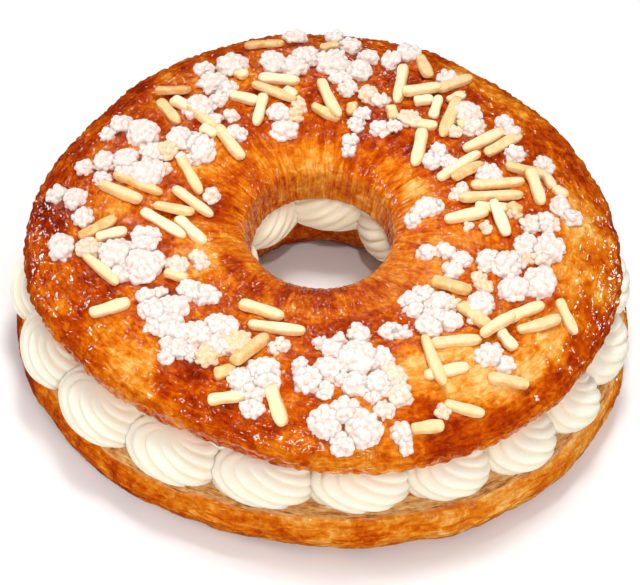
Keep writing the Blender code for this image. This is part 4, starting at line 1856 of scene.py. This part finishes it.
class KINGCAKE_OT_almonds(bpy.types.Operator):
    """Build the almond slivers"""

    bl_idname = "kingcake.almonds"
    bl_label = "Almond Slivers"
    bl_options = {"REGISTER", "UNDO"}

    def execute(self, context):
        settings = context.scene.kingcake_almonds
        dice = np.random.default_rng(29)
        tree = crust_tree()
        columns, rows = SLIVER_GRID
        turn = np.linspace(0.0, 2.0 * math.pi, columns, endpoint=False)[:, None]
        walk = np.linspace(-1.0, 1.0, rows + 2)[1:-1][None, :]
        walk = np.sign(walk) * np.abs(walk) ** 0.7
        shapes, poles, toast_and_shade_values = [], [], []
        for sliver in SLIVERS:
            toast = sliver[-1]
            width = settings.width * dice.uniform(*SLIVER_WIDTHS)
            thickness = settings.thickness * dice.uniform(*SLIVER_THICKNESSES)
            line = sliver_line(tree, sliver, thickness)
            points, across, above = sliver_surface(turn, walk, line, width, thickness, dice)
            shapes.append(points)
            middle, length, (ahead, _, _) = line
            poles.append([middle - 0.5 * length * ahead, middle + 0.5 * length * ahead])
            # Partly toasting, partly painted shade: the sides and ends of each sliver are darker
            edge_toast_and_shade = 0.34 * np.abs(across) ** 6 + 0.25 * np.abs(walk) ** 8
            face = toast * (0.62 + 0.20 * above) + edge_toast_and_shade
            toast_and_shade_values.append(np.concatenate([face.ravel(), [toast, toast]]))
        vertices, quads, triangles = many_forms(np.array(shapes), np.array(poles), columns, rows)
        piece = make_piece(
            "almond_slivers",
            vertices,
            quads,
            triangles,
            almond_material(settings),
            {"toast": np.array(toast_and_shade_values)},
        )
        return {"FINISHED"}


# Floor: half its width, its level, how far from the middle it starts to fade and is gone, and its
# colour
FLOOR_HALF = 3.0
FLOOR_LEVEL = -0.0002
FLOOR_CLEAR = 0.45
FLOOR_END = 1.00
FLOOR_COLOUR = (0.96, 0.96, 0.965, 1.0)
# Lights that light surfaces: the place they point at, their size, and for each its name, which is
# its setting's too, its place in metres and its tint
LIGHT_TARGET = (0.0, 0.0, 0.03)
SOFT_LIGHT_SIZE = 0.30
SOFT_LIGHTS = (
    ("key", (0.06, 0.24, 1.20), (1.0, 0.99, 0.975)),
    ("fill", (0.30, -0.90, 0.60), (1.0, 0.98, 0.96)),
    ("side", (-0.95, -0.05, 0.45), (1.0, 0.98, 0.96)),
)
# Lights seen only in the glaze: name, place and size in metres
GLINT_LIGHTS = (
    ("left_strip", (-0.90, 0.46, 0.36), 0.19),
    ("right_strip", (0.94, 0.40, 0.22), 0.20),
    ("back_strip", (-0.10, 0.90, 0.80), 0.15),
    ("front_strip", (-0.30, -0.75, 0.80), 0.20),
)
WHITE = (1.0, 1.0, 1.0)
# The narrow light that shines down through the hole
HOLE_SPOT_PLACE = (0.0, -0.58, 1.04)
HOLE_SPOT_TARGET = (0.0, 0.012, 0.0)
HOLE_SPOT_CONE = math.radians(4.6)
HOLE_SPOT_SIZE = 0.10
# Camera: the place it looks at, and the width of its sensor in millimetres
CAMERA_TARGET = (-0.0007, -0.0285, 0.045)
SENSOR_WIDTH = 36.0


def hang_light(data, place, target):
    """A lamp of this light at a place, turned to a target."""
    lamp = bpy.data.objects.new(data.name, data)
    bpy.context.scene.collection.objects.link(lamp)
    lamp.location = place
    lamp.rotation_euler = (Vector(target) - Vector(place)).to_track_quat("-Z", "Y").to_euler()
    return lamp


def soft_light(name, place, size, power, tint, shines=False):
    """A square area light that points at the cake. It either lights surfaces or is seen in their
    shine, so that the two are set apart."""
    data = bpy.data.lights.new(name, "AREA")
    data.shape = "SQUARE"
    data.size = size
    data.energy = power
    data.color = tint
    lamp = hang_light(data, place, LIGHT_TARGET)
    lamp.visible_glossy = shines
    lamp.visible_diffuse = not shines


def hole_light(power):
    """A narrow soft-edged spot that lights the floor seen through the hole."""
    data = bpy.data.lights.new("hole_spot", "SPOT")
    data.energy = power
    data.spot_size = HOLE_SPOT_CONE
    data.spot_blend = 1.0
    data.shadow_soft_size = HOLE_SPOT_SIZE
    lamp = hang_light(data, HOLE_SPOT_PLACE, HOLE_SPOT_TARGET)
    lamp.visible_glossy = False


def lay_floor():
    """A plain pale floor, just under the cake, that fades out round it."""
    mesh = bpy.data.meshes.new("floor")
    corners = [(-1, -1), (1, -1), (1, 1), (-1, 1)]
    mesh.from_pydata(
        [(FLOOR_HALF * x, FLOOR_HALF * y, FLOOR_LEVEL) for x, y in corners], [], [(0, 1, 2, 3)]
    )
    material, tree, shader = new_material("Floor", Roughness=0.7, Specular_IOR_Level=0.1)
    shader.inputs["Base Color"].default_value = FLOOR_COLOUR
    reach = add_node(tree, "ShaderNodeVectorMath", {0: object_place(tree)}, operation="LENGTH")
    fade = spread(tree, reach.outputs["Value"], FLOOR_CLEAR, FLOOR_END, 1.0, 0.0)
    tree.links.new(fade, shader.inputs["Alpha"])
    mesh.materials.append(material)
    floor = bpy.data.objects.new("floor", mesh)
    bpy.context.scene.collection.objects.link(floor)
    floor.visible_glossy = False


def light_sky(sky, sky_shine):
    """An even white light all round, weaker in reflections, and plain white where it is seen."""
    world = bpy.data.worlds.new("Studio")
    world.use_nodes = True
    tree = world.node_tree
    background = tree.nodes["Background"]
    background.inputs["Color"].default_value = (*WHITE, 1.0)
    rays = add_node(tree, "ShaderNodeLightPath").outputs
    strength = blend_value(tree, rays["Is Glossy Ray"], sky, sky_shine)
    strength = blend_value(tree, rays["Is Camera Ray"], strength, 1.0)
    tree.links.new(strength, background.inputs["Strength"])
    bpy.context.scene.world = world


def set_camera(settings):
    """The camera, at its distance from its target: back is the way from the target to it, and its
    right and up are turned by the roll."""
    tilt, turn = settings.elevation, settings.roll
    back = Vector((0.0, -math.cos(tilt), math.sin(tilt)))
    right = Vector((1.0, 0.0, 0.0))
    up = back.cross(right)
    right_turned = right * math.cos(turn) + up * math.sin(turn)
    up_turned = up * math.cos(turn) - right * math.sin(turn)
    data = bpy.data.cameras.new("camera")
    data.lens = settings.lens
    data.sensor_width = SENSOR_WIDTH
    camera = bpy.data.objects.new("camera", data)
    place = Matrix.Translation(Vector(CAMERA_TARGET) + back * settings.distance)
    axes = Matrix((right_turned, up_turned, back)).transposed().to_4x4()
    camera.matrix_world = place @ axes
    bpy.context.scene.collection.objects.link(camera)
    bpy.context.scene.camera = camera


class KINGCAKE_OT_stage(bpy.types.Operator):
    """Build the floor, the lights and the camera"""

    bl_idname = "kingcake.stage"
    bl_label = "Stage"
    bl_options = {"REGISTER", "UNDO"}

    def execute(self, context):
        settings = context.scene.kingcake_stage
        context.scene.view_settings.view_transform = "Standard"
        lay_floor()
        light_sky(settings.sky, settings.sky_shine)
        for name, place, tint in SOFT_LIGHTS:
            soft_light(name, place, SOFT_LIGHT_SIZE, getattr(settings, name), tint)
        hole_light(settings.hole_spot)
        for name, place, size in GLINT_LIGHTS:
            power = settings.glint * math.pi * size**2
            soft_light(name, place, size, power, WHITE, shines=True)
        set_camera(settings)
        return {"FINISHED"}


class KINGCAKE_PT_panel(bpy.types.Panel):
    """King cake's buttons and settings"""

    bl_idname = "KINGCAKE_PT_panel"
    bl_label = "King Cake"
    bl_space_type = "VIEW_3D"
    bl_region_type = "UI"
    bl_category = "King Cake"

    def draw(self, context):
        layout = self.layout
        for operator, group in STEPS:
            layout.operator(operator.bl_idname)
            settings = getattr(context.scene, group)
            column = layout.column(align=True)
            for name in settings.bl_rna.properties.keys():
                if name not in ("rna_type", "name"):
                    column.prop(settings, name)


STEPS = (
    (KINGCAKE_OT_top_crust, "kingcake_crust"),
    (KINGCAKE_OT_bottom_half, "kingcake_crust"),
    (KINGCAKE_OT_cream, "kingcake_cream"),
    (KINGCAKE_OT_sugar, "kingcake_sugar"),
    (KINGCAKE_OT_almonds, "kingcake_almonds"),
    (KINGCAKE_OT_stage, "kingcake_stage"),
)
GROUPS = {
    "kingcake_crust": CrustSettings,
    "kingcake_cream": CreamSettings,
    "kingcake_sugar": SugarSettings,
    "kingcake_almonds": AlmondSettings,
    "kingcake_stage": StageSettings,
}


def register():
    for name, group in GROUPS.items():
        bpy.utils.register_class(group)
        setattr(bpy.types.Scene, name, PointerProperty(type=group))
    for operator, _ in STEPS:
        bpy.utils.register_class(operator)
    bpy.utils.register_class(KINGCAKE_PT_panel)


def unregister():
    bpy.utils.unregister_class(KINGCAKE_PT_panel)
    for operator, _ in reversed(STEPS):
        bpy.utils.unregister_class(operator)
    for name, group in reversed(GROUPS.items()):
        delattr(bpy.types.Scene, name)
        bpy.utils.unregister_class(group)


def main():
    """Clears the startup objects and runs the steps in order."""
    for name in ("Cube", "Light", "Camera"):
        startup = bpy.data.objects.get(name)
        if startup is not None:
            bpy.data.objects.remove(startup)
    register()
    for operator, _ in STEPS:
        category, name = operator.bl_idname.split(".")
        getattr(getattr(bpy.ops, category), name)()


if __name__ == "__main__":
    main()
